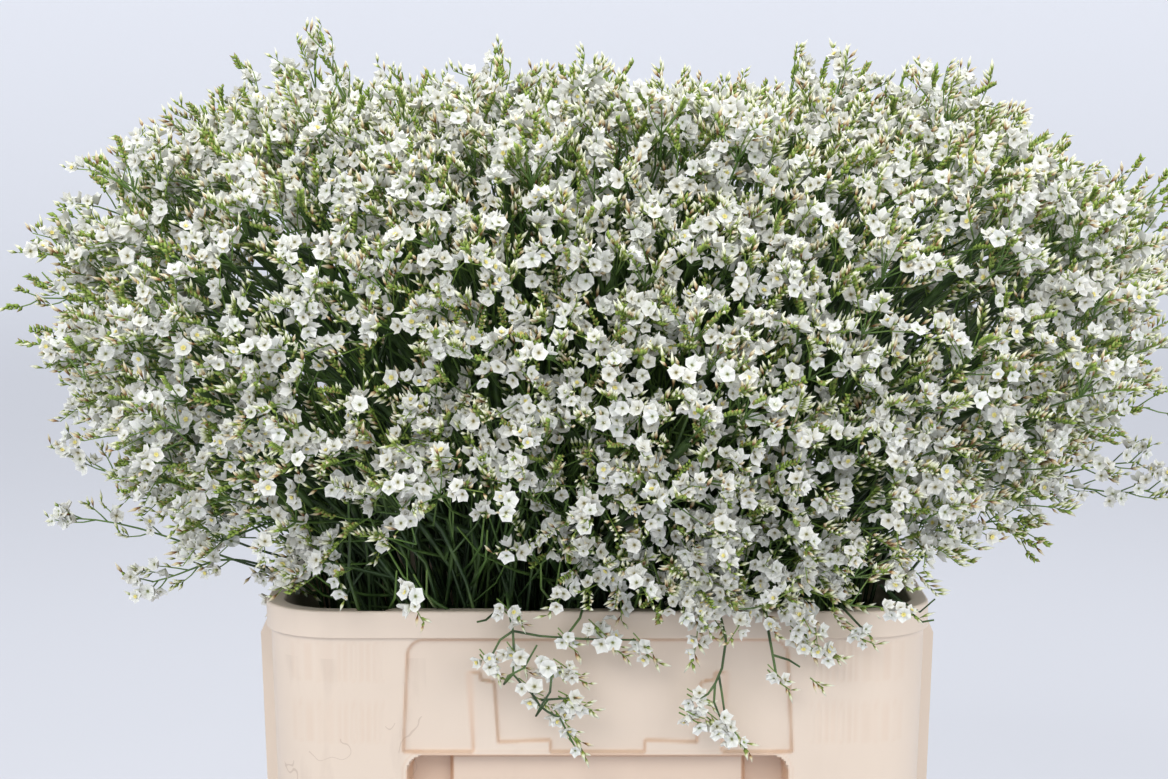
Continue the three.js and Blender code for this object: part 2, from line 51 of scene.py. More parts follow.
# Container, in millimetres; its outline is the solid's, with a finer and slightly deeper relief
RIM_LENGTH = 385
RIM_DEPTH = 285
HEIGHT = 290
RIM_BAND = 16
BAND_STEP = 2.5
LIP_WIDTH = 11
CORNER_RADIUS = 44
FLOOR = 5
DRAFT = 0.032
PANEL = dict(half=108, top=17, bottom=82.5, depth=2.2, radius=9)
FRAME = dict(half=70, top=36, bottom=83, notch=27)
POCKET = dict(top=41, sill=75, upper=59, lower=57, ledge=8)
ALCOVE = dict(half=108, top=85.5, bottom=206, depth=8, radius=9, well=84, well_depth=15)
ALCOVE_WALL = 4
# The alcove's back as it shows inside the container
BOSS = dict(
    half=ALCOVE["half"] + ALCOVE_WALL, top=ALCOVE["top"] - ALCOVE_WALL,
    bottom=ALCOVE["bottom"] + ALCOVE_WALL, radius=4, depth=ALCOVE["well_depth"] + ALCOVE_WALL - 8.5,
)
# The slots' tint is the painted shade in their notches
SLOT = dict(half=8, depth=2.2, edge=1.9, foot=2.7, tint=0.8, places=(-129, -39, 39, 129))
GRIP = dict(half=59, proud=11.5, top=5, foot=219, slope=24)
RIBS = dict(start=122, end=180, pitch=4.3, depth=0.36, bands=((19, 41), (55, 77)))

# Dome of flowers, in millimetres from a focus above the middle of the rim
FOCUS = np.array([0, 0, HEIGHT + 20.0])
DOME = dict(left=330, right=332, front=256, back=264, top=281, power=4)
UNDERCUT = dict(below=24, side=0.34, front=0.18)
DOME_SPRAYS = 23
STRETCH = 1.15
MOUTH = np.array([RIM_LENGTH / 2 - LIP_WIDTH, RIM_DEPTH / 2 - LIP_WIDTH])
MOUTH_SPREAD = 0.94
MOUTH_GAP = 6
WATER_TOP = 52
RIM_CLEAR = 8
HUB_ROUGHNESS = 0.6


def unit(vector):
    return vector / np.linalg.norm(vector, axis=-1, keepdims=True)


def linked(name, data):
    """A new object of the scene"""
    thing = bpy.data.objects.new(name, data)
    bpy.context.scene.collection.objects.link(thing)
    return thing


def dome_reach(direction):
    """How far the dome reaches from its focus; it draws in below its widest level"""
    x, y, z = np.moveaxis(direction, -1, 0)
    across = np.abs(x) / np.where(x < 0, DOME["left"], DOME["right"])
    along = np.abs(y) / np.where(y < 0, DOME["front"], DOME["back"])
    rise = np.abs(z) / DOME["top"]
    power = DOME["power"]
    sideways = x**2 / np.maximum(x**2 + y**2, 1e-9)
    depth = UNDERCUT["front"] + (UNDERCUT["side"] - UNDERCUT["front"]) * sideways
    under = np.maximum(0, 1 - np.degrees(np.arcsin(z)) / UNDERCUT["below"])
    return (1 - depth * under) * (across**power + along**power + rise**power) ** (-1 / power)


def node_points(node):
    """The corners of a solid, in millimetres"""
    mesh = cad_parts[node].data
    points = np.empty(len(mesh.vertices) * 3)
    mesh.vertices.foreach_get("co", points)
    return points.reshape(-1, 3) / MM


def spray_axes():
    """The axis and hub of each spray of the dome, read from the solid head's nearest points"""
    axes = []
    hubs = []
    for number in range(1, DOME_SPRAYS + 1):
        offset = node_points(f"florets_{number:02d}") - FOCUS
        distance = np.linalg.norm(offset, axis=1)
        nearest = np.unique(offset[distance < distance.min() + HUB_ROUGHNESS].round(2), axis=0)
        hub = nearest.mean(axis=0)
        axes.append(unit(hub))
        hubs.append(np.linalg.norm(hub))
    return np.array(axes), np.array(hubs)


# Lower edge of the flowers in the photograph, in its pixels, from left to right
LOWER_EDGE = (
    (150, 508), (215, 556), (285, 586), (330, 520), (400, 482), (470, 500), (530, 528), (585, 590),
    (640, 628), (720, 650), (800, 640), (850, 628), (878, 588), (910, 556), (970, 532), (1040, 480),
)
FRONT_LINE = 178
# Elevation of that edge out of the photograph's sight, in degrees
SKIRT = dict(back=2.0, left=8.0, right=13.0)
EDGE_SCATTER = 1.0
# Distances from the camera at which the dome's front is looked for: first, last and step
SIGHT = (1300, 2000, 2.0)


def photo_point(x, y, depth):
    """The point behind a pixel of the photograph, at a distance in front of the middle"""
    across = (x - PHOTO_WIDTH / 2) / FOCAL_PIXELS
    up = (PHOTO_HEIGHT / 2 - y) / FOCAL_PIXELS
    ray = np.array([
        across,
        math.cos(CAMERA_PITCH) + up * math.sin(CAMERA_PITCH),
        up * math.cos(CAMERA_PITCH) - math.sin(CAMERA_PITCH),
    ])
    camera = np.array(CAMERA) / MM
    return camera + ray * ((-depth - camera[1]) / ray[1])


def lower_edge():
    """The edge as elevations over azimuths of the front half"""
    turns = []
    lifts = []
    for x, y in LOWER_EDGE:
        offset = photo_point(x, y, FRONT_LINE) - FOCUS
        turns.append(math.degrees(math.atan2(offset[1], offset[0])) % 360)
        lifts.append(math.degrees(math.atan2(offset[2], math.hypot(offset[0], offset[1]))))
    order = np.argsort(turns)
    return np.array(turns)[order], np.array(lifts)[order]


EDGE_TURNS, EDGE_LIFTS = lower_edge()


def skirt_elevation(direction):
    """How high the flowers begin in a direction, in degrees above the focus"""
    turn = np.degrees(np.arctan2(direction[..., 1], direction[..., 0])) % 360
    front = np.interp(turn, EDGE_TURNS, EDGE_LIFTS)
    inside = (turn > EDGE_TURNS[0]) & (turn < EDGE_TURNS[-1])
    sideways = np.cos(np.radians(turn)) ** 2
    side = np.where(direction[..., 0] < 0, SKIRT["left"], SKIRT["right"])
    return np.where(inside, front, SKIRT["back"] + (side - SKIRT["back"]) * sideways)


# Tufts of spikes, which stand further apart behind BACK_FROM
CLUSTER_GAP = 22.6
BACK_GAP = 24.8
BACK_FROM = 70
CANDIDATES = 30000
BASE_DEPTH = 38
INNER_SHARE = 0.80
NEXT_TURN = 2.4
FLOWERING = dict(spread=(0.35, 0.9), length=(24, 31), sideways=0.9, radial=0.2, bloom=0.92)
BUDDING = dict(spread=(0.3, 1.05), length=(19, 28), sideways=0.45, radial=0.75, bloom=0.0)
# Share of buds that stay green scales: everywhere, more on top and more on the left
GREEN_SHARE = dict(base=0.3, top=0.3, left=0.2)
# A few tufts stand proud of the rest
PROUD = dict(share=0.06, least=8, most=24, bumps=15, uneven=6, sunk=6)
DEEP_HOLLOW = 12
# Chances of more flowering spikes and of fewer or more in bud, each with its gain in low places
LOW_BELOW = 0.55
THIRD_FLOWERING = (0.8, 0.2)
FOURTH_FLOWERING = (0.0, 0.7)
FEWER_BUDDING = (0.45, 0.4)
MORE_BUDDING = (0.3, 0.0)
# On the sides, some tufts are mostly in bud
SIDE_BUDS = dict(share=0.45, beyond=0.35)
# A second tuft deeper in the dome, behind most of the others
INNER = dict(least=14, most=34, shift=13, turn=0.45)
# Height and pitch of the slow ups and downs of the flowers' surface
BUMPS = ((1.3, 0.011), (0.6, 0.035))
# Twigs grow up above this elevation in degrees, and droop below it
GROWTH = dict(level=5, droop=18, rise=45, lowest=-0.8, highest=0.5)

# Spikes: share of the stalk without flowers, and gaps between flowers
BARE_BELOW_FLOWERS = 0.34
BARE_BELOW_BUDS = 0.57
FLOWERING_PITCH = 3.1
BUD_PITCH = 1.55
GREEN_PITCH = 1.2
SPIKE = dict(curl=0.55, reach=1.35, rise=0.5, hook=0.4, root=1.1, tip=0.6)

# Stems and branches
STEMS_PER_SPRAY = 28
SHOOTS_PER_STEM = 4
STEM_RADIUS = 1.35
# Every second stem thickens from this point of its path up, to this radius
STEM_SWELLS = 5
SWOLLEN_RADIUS = 3.2
BRANCH_RADIUS = 0.85
STALK_RADIUS = 0.5
MOUTH_SCATTER = (34, 24)
FOOT_CLEAR = 0.35
STEM = dict(margin=9, foot=0.8, water=0.82, above_water=20.0, below_rim=20.0, neck=0.62, scatter=22)
FORK_DEPTH = (30, 60)
BRANCH = dict(lift=40.0, leave=0.35, arrive=0.4, scatter=7)
SHOOT = dict(first=4.2, last=1.3, sideways=0.9, rising=0.4, shortest=50, longest=105, radii=(1.15, 0.6),
             margin=22, above_rim=20, near=75, budding_share=0.5, buds_above=85, bare=0.65)

# Sprigs that stand out of the outline in the photograph, as pixels of their tips
SPRIGS = (
    (320, 32), (334, 60), (241, 62), (298, 75), (503, 55), (402, 72), (440, 82), (570, 72), (605, 68),
    (690, 82), (800, 55), (905, 75), (852, 78), (1012, 112), (960, 96), (1060, 140), (1090, 165),
    (1160, 185), (1165, 205), (1128, 190), (1165, 262), (1148, 240), (1140, 318), (1150, 372),
    (175, 118), (135, 140), (106, 170), (75, 208), (50, 236), (42, 272), (60, 352), (82, 376), (200, 105),
)
# Loose twigs that swing out on the sides: start, two leaning points and tip, in pixels
FLOWERING_TWIGS = (
    ((300, 560), (215, 545), (160, 500), (84, 458)), ((290, 575), (215, 560), (150, 520), (72, 518)),
    ((275, 570), (215, 545), (205, 570), (152, 582)), ((300, 575), (285, 560), (262, 572), (284, 592)),
    ((260, 440), (190, 420), (150, 400), (90, 402)), ((930, 505), (1000, 500), (1060, 465), (1138, 462)),
    ((930, 480), (1010, 450), (1080, 505), (1150, 490)), ((980, 340), (1040, 300), (1100, 270), (1160, 262)),
)
GREEN_TWIGS = (
    ((260, 340), (170, 300), (120, 345), (48, 340)), ((250, 325), (160, 290), (100, 300), (40, 298)),
    ((260, 350), (180, 320), (130, 352), (74, 362)), ((240, 300), (170, 260), (120, 262), (62, 250)),
    ((930, 430), (1010, 440), (1070, 400), (1150, 408)), ((900, 540), (950, 535), (990, 515), (1020, 522)),
    ((900, 470), (960, 500), (1010, 515), (1020, 532)), ((960, 330), (1040, 300), (1090, 240), (1150, 200)),
    ((960, 300), (1030, 280), (1080, 220), (1120, 190)),
)
LOOSE_DEPTH = 40
# Where a sprig's spikes leave it, as shares of its length, and where a loose twig's do, as points
SPRIG_PLACES = (0.45, 0.58, 0.7, 0.8, 0.9, 1.0)
SPRIG_BOW = 12
SPRIG = dict(length=105, inward=10, straight=35, bloom=0.9, side=0.6, curl=0.3, green_share=0.55)
LOOSE_STEPS = (4, 6, 7, 8, 9, 9, 10, 10)
# Dark hollows between the heads, in pixels of the photograph with a radius in millimetres
HOLLOWS = (
    (470, 378, 17), (505, 400, 12), (545, 370, 19), (560, 425, 22), (548, 480, 22), (535, 530, 26),
    (868, 412, 17), (640, 560, 12), (820, 560, 13), (470, 540, 20), (880, 590, 14), (330, 545, 26),
)
HOLLOW_DEPTH = 2.6
HOLLOW_REACH = 1.6


def dome_sites(random):
    """Even places on the dome, above the flowers' lower edge"""
    direction = unit(random.normal(size=(CANDIDATES, 3)))
    elevation = np.degrees(np.arcsin(direction[:, 2]))
    direction = direction[elevation > skirt_elevation(direction) + random.normal(0, EDGE_SCATTER, CANDIDATES)]
    reach = dome_reach(direction)
    places = FOCUS + direction * reach[:, None]
    kept = np.empty((0, 3))
    for place in places:
        gap = BACK_GAP if place[1] > BACK_FROM else CLUSTER_GAP
        if len(kept) and ((kept - place) ** 2).sum(axis=1).min() < gap**2:
            continue
        kept = np.vstack([kept, place])
    return kept


def aim_at_dome(x, y):
    """Where the photograph's pixel meets the dome"""
    camera = np.array(CAMERA) / MM
    ray = unit(photo_point(x, y, 0) - camera)
    for distance in np.arange(*SIGHT):
        offset = camera + ray * distance - FOCUS
        if np.linalg.norm(offset) < dome_reach(unit(offset)):
            break
    return FOCUS + offset


class Skeleton:
    """Lines that twigs and spikes follow, with what each point of a line is"""

    def __init__(self):
        self.points = []
        self.edges = []
        keys = ("thickness", "youth", "pitch", "bloom", "bare", "green", "facing")
        self.values = {key: [] for key in keys}

    def line(self, points, thickness, youth, pitch=0.0, bloom=0.0, bare=0.0, facing=(0, 0, 1), green=0.0):
        """Adds a line; thickness and youth run from its first point to its last"""
        start = len(self.points)
        count = len(points)
        share = np.linspace(0, 1, count)
        self.points.extend(np.asarray(points) * MM)
        self.edges.extend((start + k, start + k + 1) for k in range(count - 1))
        self.values["thickness"].extend((thickness[0] + (thickness[1] - thickness[0]) * share) * MM)
        self.values["youth"].extend(youth[0] + (youth[1] - youth[0]) * share)
        same = dict(pitch=pitch * MM, bloom=bloom, bare=bare, green=green, facing=tuple(facing))
        for key, value in same.items():
            self.values[key].extend([value] * count)

    def object(self, name):
        """The lines as a mesh of edges, with each point's values"""
        mesh = bpy.data.meshes.new(name)
        mesh.from_pydata([tuple(point) for point in self.points], self.edges, [])
        for key, values in self.values.items():
            kind = "FLOAT_VECTOR" if key == "facing" else "FLOAT"
            attribute = mesh.attributes.new(key, kind, "POINT")
            flat = np.asarray(values, dtype=np.float32).ravel()
            attribute.data.foreach_set("vector" if key == "facing" else "value", flat)
        return linked(name, mesh)


def curve_through(start, lean_out, lean_in, end, count):
    """A bent line from start to end, with its two leaning points"""
    t = np.linspace(0, 1, count)[:, None]
    return (
        (1 - t) ** 3 * start + 3 * (1 - t) ** 2 * t * lean_out
        + 3 * (1 - t) * t**2 * lean_in + t**3 * end
    )


def spike(skeleton, start, ahead, curl, length, bloom, facing, green=False):
    """A stalk that bends into a spike with flowers, buds or green scales on its outer side"""
    bare = BARE_BELOW_FLOWERS if bloom else BARE_BELOW_BUDS
    pitch = FLOWERING_PITCH if bloom else BUD_PITCH
    if green:
        pitch = GREEN_PITCH
    tip = start + unit(ahead + SPIKE["curl"] * curl) * length * SPIKE["reach"]
    lean_out = start + ahead * length * SPIKE["rise"]
    lean_in = tip - unit(curl) * length * SPIKE["hook"]
    path = curve_through(start, lean_out, lean_in, tip, 4)
    thickness = (STALK_RADIUS * SPIKE["root"], STALK_RADIUS * SPIKE["tip"])
    skeleton.line(path, thickness, (0.5, 1.0), pitch, bloom, bare, facing, float(green))


def square_pair(axis):
    """Two directions at right angles to an axis and to each other"""
    helper = np.array([0.0, 0, 1]) if abs(axis[2]) < 0.9 else np.array([1.0, 0, 0])
    across = unit(np.cross(helper, axis))
    return across, np.cross(axis, across)


def growth_at(place):
    """The way the twigs grow near the surface: up on the dome, out and over at its skirt"""
    radial = unit(place - FOCUS)
    elevation = math.degrees(math.asin(radial[2]))
    above = elevation - GROWTH["level"]
    lift = above / (GROWTH["droop"] if above < 0 else GROWTH["rise"])
    lift = np.clip(lift, GROWTH["lowest"], GROWTH["highest"])
    return unit(radial + np.array([0, 0, lift])), radial


def bumps(place):
    """Slow ups and downs of the flowers' surface"""
    return sum(height * noise.noise(Vector(place) * pitch) for height, pitch in BUMPS)


def hollow_depth(place, hollows):
    """How far a place sinks because the photograph shows a dark hollow there"""
    depths = []
    for middle, radius in hollows:
        away = np.linalg.norm(place - middle) / radius / HOLLOW_REACH
        depths.append(radius * HOLLOW_DEPTH * max(0, 1 - away))
    return max(depths)


def tuft(skeleton, random, base, growth, radial, flowering, budding):
    """Spikes that share a base: flowering ones bow sideways, those in bud stand up"""
    across, along = square_pair(growth)
    turn = random.uniform(0, 2 * math.pi)
    on_top = GREEN_SHARE["top"] * max(radial[2], 0)
    green_share = GREEN_SHARE["base"] + on_top + GREEN_SHARE["left"] * max(-radial[0], 0)
    for number in range(flowering + budding):
        turn += NEXT_TURN
        kind = FLOWERING if number < flowering else BUDDING
        sideways = across * math.cos(turn) + along * math.sin(turn)
        ahead = unit(growth + random.uniform(*kind["spread"]) * sideways)
        curl = kind["sideways"] * sideways + kind["radial"] * radial
        curl = unit(curl + random.normal(0, 0.25, 3))
        length = random.uniform(*kind["length"])
        facing = unit(radial + np.array([0, 0, 0.25]) + random.normal(0, 0.3, 3))
        green = kind is BUDDING and random.random() < green_share
        spike(skeleton, base, ahead, curl, length, kind["bloom"], facing, green)


def chance(random, share, low):
    """1 or 0 by a share, with what it gains in a low place"""
    return int(random.random() < share[0] + share[1] * low)


def cluster(skeleton, random, place, hollows):
    """A tuft whose spikes end near the surface; returns its base"""
    growth, radial = growth_at(place)
    growth = unit(growth + random.normal(0, 0.2, 3))
    sunk = hollow_depth(place, hollows)
    proud = PROUD["bumps"] * bumps(place) + random.normal(0, PROUD["uneven"])
    if random.random() < PROUD["share"]:
        proud += random.uniform(PROUD["least"], PROUD["most"])
    place = place + radial * (proud - PROUD["sunk"] - sunk)
    base = place - growth * BASE_DEPTH
    low = max(0.0, LOW_BELOW - radial[2])
    flowering = 2 + chance(random, THIRD_FLOWERING, low) + chance(random, FOURTH_FLOWERING, low)
    budding = 3 - chance(random, FEWER_BUDDING, low) + chance(random, MORE_BUDDING, low)
    if random.random() < SIDE_BUDS["share"] * max(0, abs(radial[0]) - SIDE_BUDS["beyond"]):
        flowering = 1
        budding += 1
    if sunk > DEEP_HOLLOW:
        flowering = 1
    tuft(skeleton, random, base, growth, radial, flowering, budding)
    if random.random() < INNER_SHARE:
        inward = growth * random.uniform(INNER["least"], INNER["most"])
        deep = base - inward + random.normal(0, INNER["shift"], 3)
        outward = unit(growth + random.normal(0, INNER["turn"], 3))
        tuft(skeleton, random, deep, outward, radial, 1, 1)
    return base


def sprig(skeleton, random, tip):
    """A twig that stands out of the outline, with spikes along its outer half"""
    growth, radial = growth_at(tip)
    across, along = square_pair(growth)
    bow = across * random.uniform(-SPRIG_BOW, SPRIG_BOW) + along * random.uniform(-SPRIG_BOW, SPRIG_BOW)
    start = tip - growth * SPRIG["length"] - radial * SPRIG["inward"]
    straight = growth * SPRIG["straight"]
    path = curve_through(start, start + straight - bow, tip - straight + bow, tip, 7)
    skeleton.line(path, (BRANCH_RADIUS, STALK_RADIUS), (0.35, 0.9))
    for number, share in enumerate(SPRIG_PLACES):
        place = path[round(share * 6)]
        turn = number * NEXT_TURN + random.uniform(-0.5, 0.5)
        sideways = across * math.cos(turn) + along * math.sin(turn)
        ahead = unit(growth + SPRIG["side"] * sideways)
        bloom = SPRIG["bloom"] if number == 3 else 0.0
        length = random.uniform(13, 19) if share < 1 else 14
        start_here = place - growth * (8 if share < 1 else 14)
        curl = unit(growth + SPRIG["curl"] * sideways)
        green = not bloom and random.random() < SPRIG["green_share"]
        spike(skeleton, start_here, ahead, curl, length, bloom, radial, green)


def loose_twig(skeleton, random, pixels, flowering):
    """A long twig that swings out of the mass, with small spikes on both sides of its end"""
    path = curve_through(*(photo_point(x, y, LOOSE_DEPTH) for x, y in pixels), 11)
    skeleton.line(path, (BRANCH_RADIUS * 1.1, STALK_RADIUS), (0.2, 0.75))
    for number, step in enumerate(LOOSE_STEPS):
        ahead = unit(path[step] - path[step - 1])
        side = unit(np.cross(ahead, (0, -1, 0))) * (1 if number % 2 else -1)
        start_here = path[step] - ahead * random.uniform(0, 9)
        facing = unit(np.array([0, -0.9, 0.5]) + random.normal(0, 0.3, 3))
        bloom = 0.9 if flowering and number % 3 < 2 else 0.0
        turned = unit(ahead + random.uniform(0.3, 0.9) * side)
        curl = unit(ahead + np.array([0, 0, 0.4]))
        green = not flowering and number % 4 > 0
        spike(skeleton, start_here, turned, curl, random.uniform(11, 17), bloom, facing, green)


def clear_of_rim(path):
    """Keeps the low part of a path inside the mouth"""
    path = np.array(path)
    room = MOUTH - MOUTH_GAP
    low = path[:, 2] < HEIGHT + RIM_CLEAR
    path[low, :2] = np.clip(path[low, :2], -room, room)
    return path


def stem_path(random, axis, hub, end):
    """From the container's floor through its mouth to a fork under the flowers"""
    spread = math.sqrt(max(0.0, 1 - axis[2]))
    turn = math.atan2(axis[1], axis[0] / STRETCH)
    heading = np.array([math.cos(turn), math.sin(turn)])
    heading = heading / (heading**4).sum() ** 0.25
    mouth = heading * MOUTH * MOUTH_SPREAD * spread + random.normal(0, MOUTH_SCATTER)
    limit = MOUTH - STEM["margin"]
    mouth = np.clip(mouth, -limit, limit)
    foot = np.array([*(STEM["foot"] * mouth), FLOOR + FOOT_CLEAR])
    waterline = np.array([*(STEM["water"] * mouth), WATER_TOP + STEM["above_water"]])
    throat = np.array([*mouth, HEIGHT - STEM["below_rim"]])
    neck = FOCUS + STEM["neck"] * hub * unit(0.5 * axis + 0.5 * unit(end - FOCUS))
    neck = neck + random.normal(0, STEM["scatter"], 3)
    upper = curve_through(waterline, throat, neck, end, 8)
    return clear_of_rim(np.vstack([foot, upper]))


def side_shoot(skeleton, random, path):
    """A thin shoot off a stem, inside the dome"""
    where = random.uniform(SHOOT["first"], len(path) - SHOOT["last"])
    step = int(where)
    start = path[step] + (path[step + 1] - path[step]) * (where - step)
    rising = unit(path[step + 1] - path[step])
    sideways = unit(random.normal(0, 1, 3))
    ahead = unit(rising + SHOOT["sideways"] * sideways)
    length = random.uniform(SHOOT["shortest"], SHOOT["longest"])
    tip = start + unit(ahead + SHOOT["rising"] * rising) * length
    room = dome_reach(unit(tip - FOCUS)) - SHOOT["margin"] - np.linalg.norm(tip - FOCUS)
    inside = (np.abs(tip[:2]) < MOUTH - MOUTH_GAP).all()
    if room < 0 or (tip[2] < HEIGHT + SHOOT["above_rim"] and not inside):
        return
    near_surface = room < SHOOT["near"] and random.random() < SHOOT["budding_share"]
    budding = BUD_PITCH * 1.3 if near_surface and tip[2] > HEIGHT + SHOOT["buds_above"] else 0.0
    path = curve_through(start, start + ahead * length * 0.4, tip - rising * length * 0.3, tip, 4)
    facing = unit(tip - FOCUS)
    skeleton.line(path, SHOOT["radii"], (0.3, 0.7), budding, 0.0, SHOOT["bare"], facing)


def branch_out(skeleton, random, fork, rising, base):
    """A branch from a stem's fork to the base of a tuft"""
    gap = np.linalg.norm(base - fork)
    arrive = unit(base - FOCUS + np.array([0, 0, BRANCH["lift"]]))
    bend = base - arrive * gap * BRANCH["arrive"] + random.normal(0, BRANCH["scatter"], 3)
    branch = curve_through(fork, fork + rising * gap * BRANCH["leave"], bend, base, 4)
    skeleton.line(branch, (BRANCH_RADIUS, STALK_RADIUS * 1.3), (0.35, 0.55))


def forked_stem(skeleton, random, axis, hub, bundle, thickens):
    """A stem that rises from the floor and forks to the bases of some tufts"""
    middle = bundle.mean(axis=0)
    fork = middle - unit(middle - FOCUS) * random.uniform(*FORK_DEPTH)
    path = stem_path(random, axis, hub, fork)
    skeleton.line(path[:STEM_SWELLS + 1], (STEM_RADIUS, STEM_RADIUS), (0.0, 0.2))
    swollen = SWOLLEN_RADIUS if thickens else STEM_RADIUS
    skeleton.line(path[STEM_SWELLS:], (STEM_RADIUS, swollen), (0.2, 0.4))
    for _ in range(SHOOTS_PER_STEM):
        side_shoot(skeleton, random, path)
    rising = unit(path[-1] - path[-2])
    for base in bundle:
        branch_out(skeleton, random, fork, rising, base)


def plain_stem(skeleton, random, axis, hub, bases):
    """A further stem, to one of the spray's tufts"""
    path = stem_path(random, axis, hub, bases[random.integers(len(bases))] - axis * 20)
    skeleton.line(path, (STEM_RADIUS, STALK_RADIUS), (0.0, 0.5))
    side_shoot(skeleton, random, path)


def grow_dome(random):
    """The skeleton of each spray of the dome"""
    axes, hubs = spray_axes()
    sites = dome_sites(random)
    hollows = [(np.array(aim_at_dome(x, y)), radius) for x, y, radius in HOLLOWS]
    owner = (unit(sites - FOCUS) @ axes.T).argmax(axis=1)
    tips = np.array([photo_point(x, y, 0) for x, y in SPRIGS])
    tip_owner = (unit(tips - FOCUS) @ axes.T).argmax(axis=1)
    skeletons = []
    for index, (axis, hub) in enumerate(zip(axes, hubs)):
        skeleton = Skeleton()
        places = sites[owner == index]
        across, along = square_pair(axis)
        offset = places - (FOCUS + axis * hub)
        places = places[np.argsort(np.arctan2(offset @ along, offset @ across))]
        bases = np.array([cluster(skeleton, random, place, hollows) for place in places])
        bundles = np.array_split(bases, min(STEMS_PER_SPRAY, len(bases)))
        for order, bundle in enumerate(bundles):
            forked_stem(skeleton, random, axis, hub, bundle, order % 2)
        for _ in range(max(0, STEMS_PER_SPRAY - len(bases))):
            plain_stem(skeleton, random, axis, hub, bases)
        for tip in tips[tip_owner == index]:
            sprig(skeleton, random, tip)
        for pixels in FLOWERING_TWIGS + GREEN_TWIGS:
            tip = unit(photo_point(*pixels[-1], LOOSE_DEPTH) - FOCUS)
            if (axes @ tip).argmax() == index:
                loose_twig(skeleton, random, pixels, pixels in FLOWERING_TWIGS)
        skeletons.append(skeleton)
    return skeletons


# Small closed shapes that the trees repeat; each corner has a place in a unit tile
CALYX_WIDTH = 10.7
CALYX_DEPTH = 6.9
# Five uneven lobes and the creases between them: share of the width, and rise of the edge
CALYX_EDGE = (1.0, 0.85, 0.92, 0.89, 1.05, 0.82, 0.95, 0.87, 1.0, 0.81)
CALYX_RISE = (0.0, -1.9, 0.6, -1.5, -0.6, -2.3, 0.4, -1.4, -0.3, -2.1)
BUD_LENGTH = 8.6
BUD_WIDEST = 0.55
BUD_RADIUS = 1.3
BRACT_LENGTH = 4.0
BRACT_RADIUS = 1.45
COROLLA_RADIUS = 1.7
# Sizes of the single shapes, as shares of their own, and how they are squeezed across and along
CALYX_SIZES = (0.72, 1.03)
BUD_SIZES = (0.72, 1.08)
BRACT_SIZES = (0.8, 1.15)
SQUEEZE = ((0.72, 0.88, 0.8), (1.03, 1.06, 1.3))
# How far flowers and buds lean outwards, along the spike, sideways and at random
FLOWER_WAY = (0.85, 0.3, 0.62, 0.72)
BUD_WAY = (0.62, 0.75, 0.5, 0.13)
# Shares of a spike: flowers stop below its end, closed ones mix in, a green spike keeps few buds
FLOWERS_END = 0.76
CLOSED_FROM = 0.7
GREEN_SPIKE_BUDS = 0.14
SCALY_SHARE = 0.2
YELLOW_SHARE = 0.17


def template(name, foot, edge, top, tile):
    """Two cones on one ring of corners; tile gives a corner of a face its place in the tile.

    foot and top are a height and a place along the shape, edge is the corners' radii and heights
    and their place along it.
    """
    corners, edge_along = edge
    count = len(corners)
    points = [(0.0, 0.0, foot[0] * MM)]
    for k, (radius, height) in enumerate(corners):
        angle = 2 * math.pi * k / count
        points.append((radius * math.cos(angle) * MM, radius * math.sin(angle) * MM, height * MM))
    points.append((0.0, 0.0, top[0] * MM))
    along = [foot[1], *[edge_along] * count, top[1]]
    faces = [(0, 1 + (k + 1) % count, 1 + k) for k in range(count)]
    faces += [(count + 1, 1 + k, 1 + (k + 1) % count) for k in range(count)]
    mesh = bpy.data.meshes.new(name)
    mesh.from_pydata(points, [], faces)
    attribute = mesh.attributes.new("along", "FLOAT", "POINT")
    attribute.data.foreach_set("value", along)
    layer = mesh.uv_layers.new(name="OFBake")
    for polygon in mesh.polygons:
        for loop in polygon.loop_indices:
            vertex = mesh.loops[loop].vertex_index
            layer.data[loop].uv = tile(polygon.index, points[vertex], along[vertex])
    return linked(name, mesh)


def calyx_shape():
    """A shallow five-cornered funnel of creased paper with a dark eye"""
    half = CALYX_WIDTH / 2
    corners = [(half * share, CALYX_DEPTH + rise) for share, rise in zip(CALYX_EDGE, CALYX_RISE)]

    def tile(face, point, along):
        side = 0.25 if face < len(corners) else 0.75
        return side + point[0] / MM / CALYX_WIDTH * 0.46, 0.5 + point[1] / MM / CALYX_WIDTH * 0.9

    return template("calyx", (1.0, 0.0), (corners, 1.0), (4.6, 0.0), tile)


def around_tile(face, point, along):
    """The place in the tile by the turn about the axis and the place along it"""
    return 0.5 + 0.42 * math.atan2(point[1], point[0]) / math.pi, 0.06 + 0.88 * along


def bud_shape():
    """A closed calyx in its scale: green foot, rusty scale tip, ivory above"""
    corners = [(BUD_RADIUS, BUD_LENGTH * BUD_WIDEST)] * 3
    return template("bud", (0.0, 0.0), (corners, BUD_WIDEST), (BUD_LENGTH, 1.0), around_tile)


def bract_shape():
    """A green scale that wraps the foot of a flower"""
    corners = [(BRACT_RADIUS, 1.5)] * 3
    return template("bract", (-0.8, 0.0), (corners, 0.45), (BRACT_LENGTH, 1.0), around_tile)


def corolla_shape():
    """The yellow petals inside an open calyx"""
    def tile(face, point, along):
        return 0.5 + point[0] / MM * 0.2, 0.5 + point[1] / MM * 0.2

    return template("corolla", (4.2, 0.0), ([(COROLLA_RADIUS, 5.8)] * 5, 1.0), (5.3, 0.0), tile)


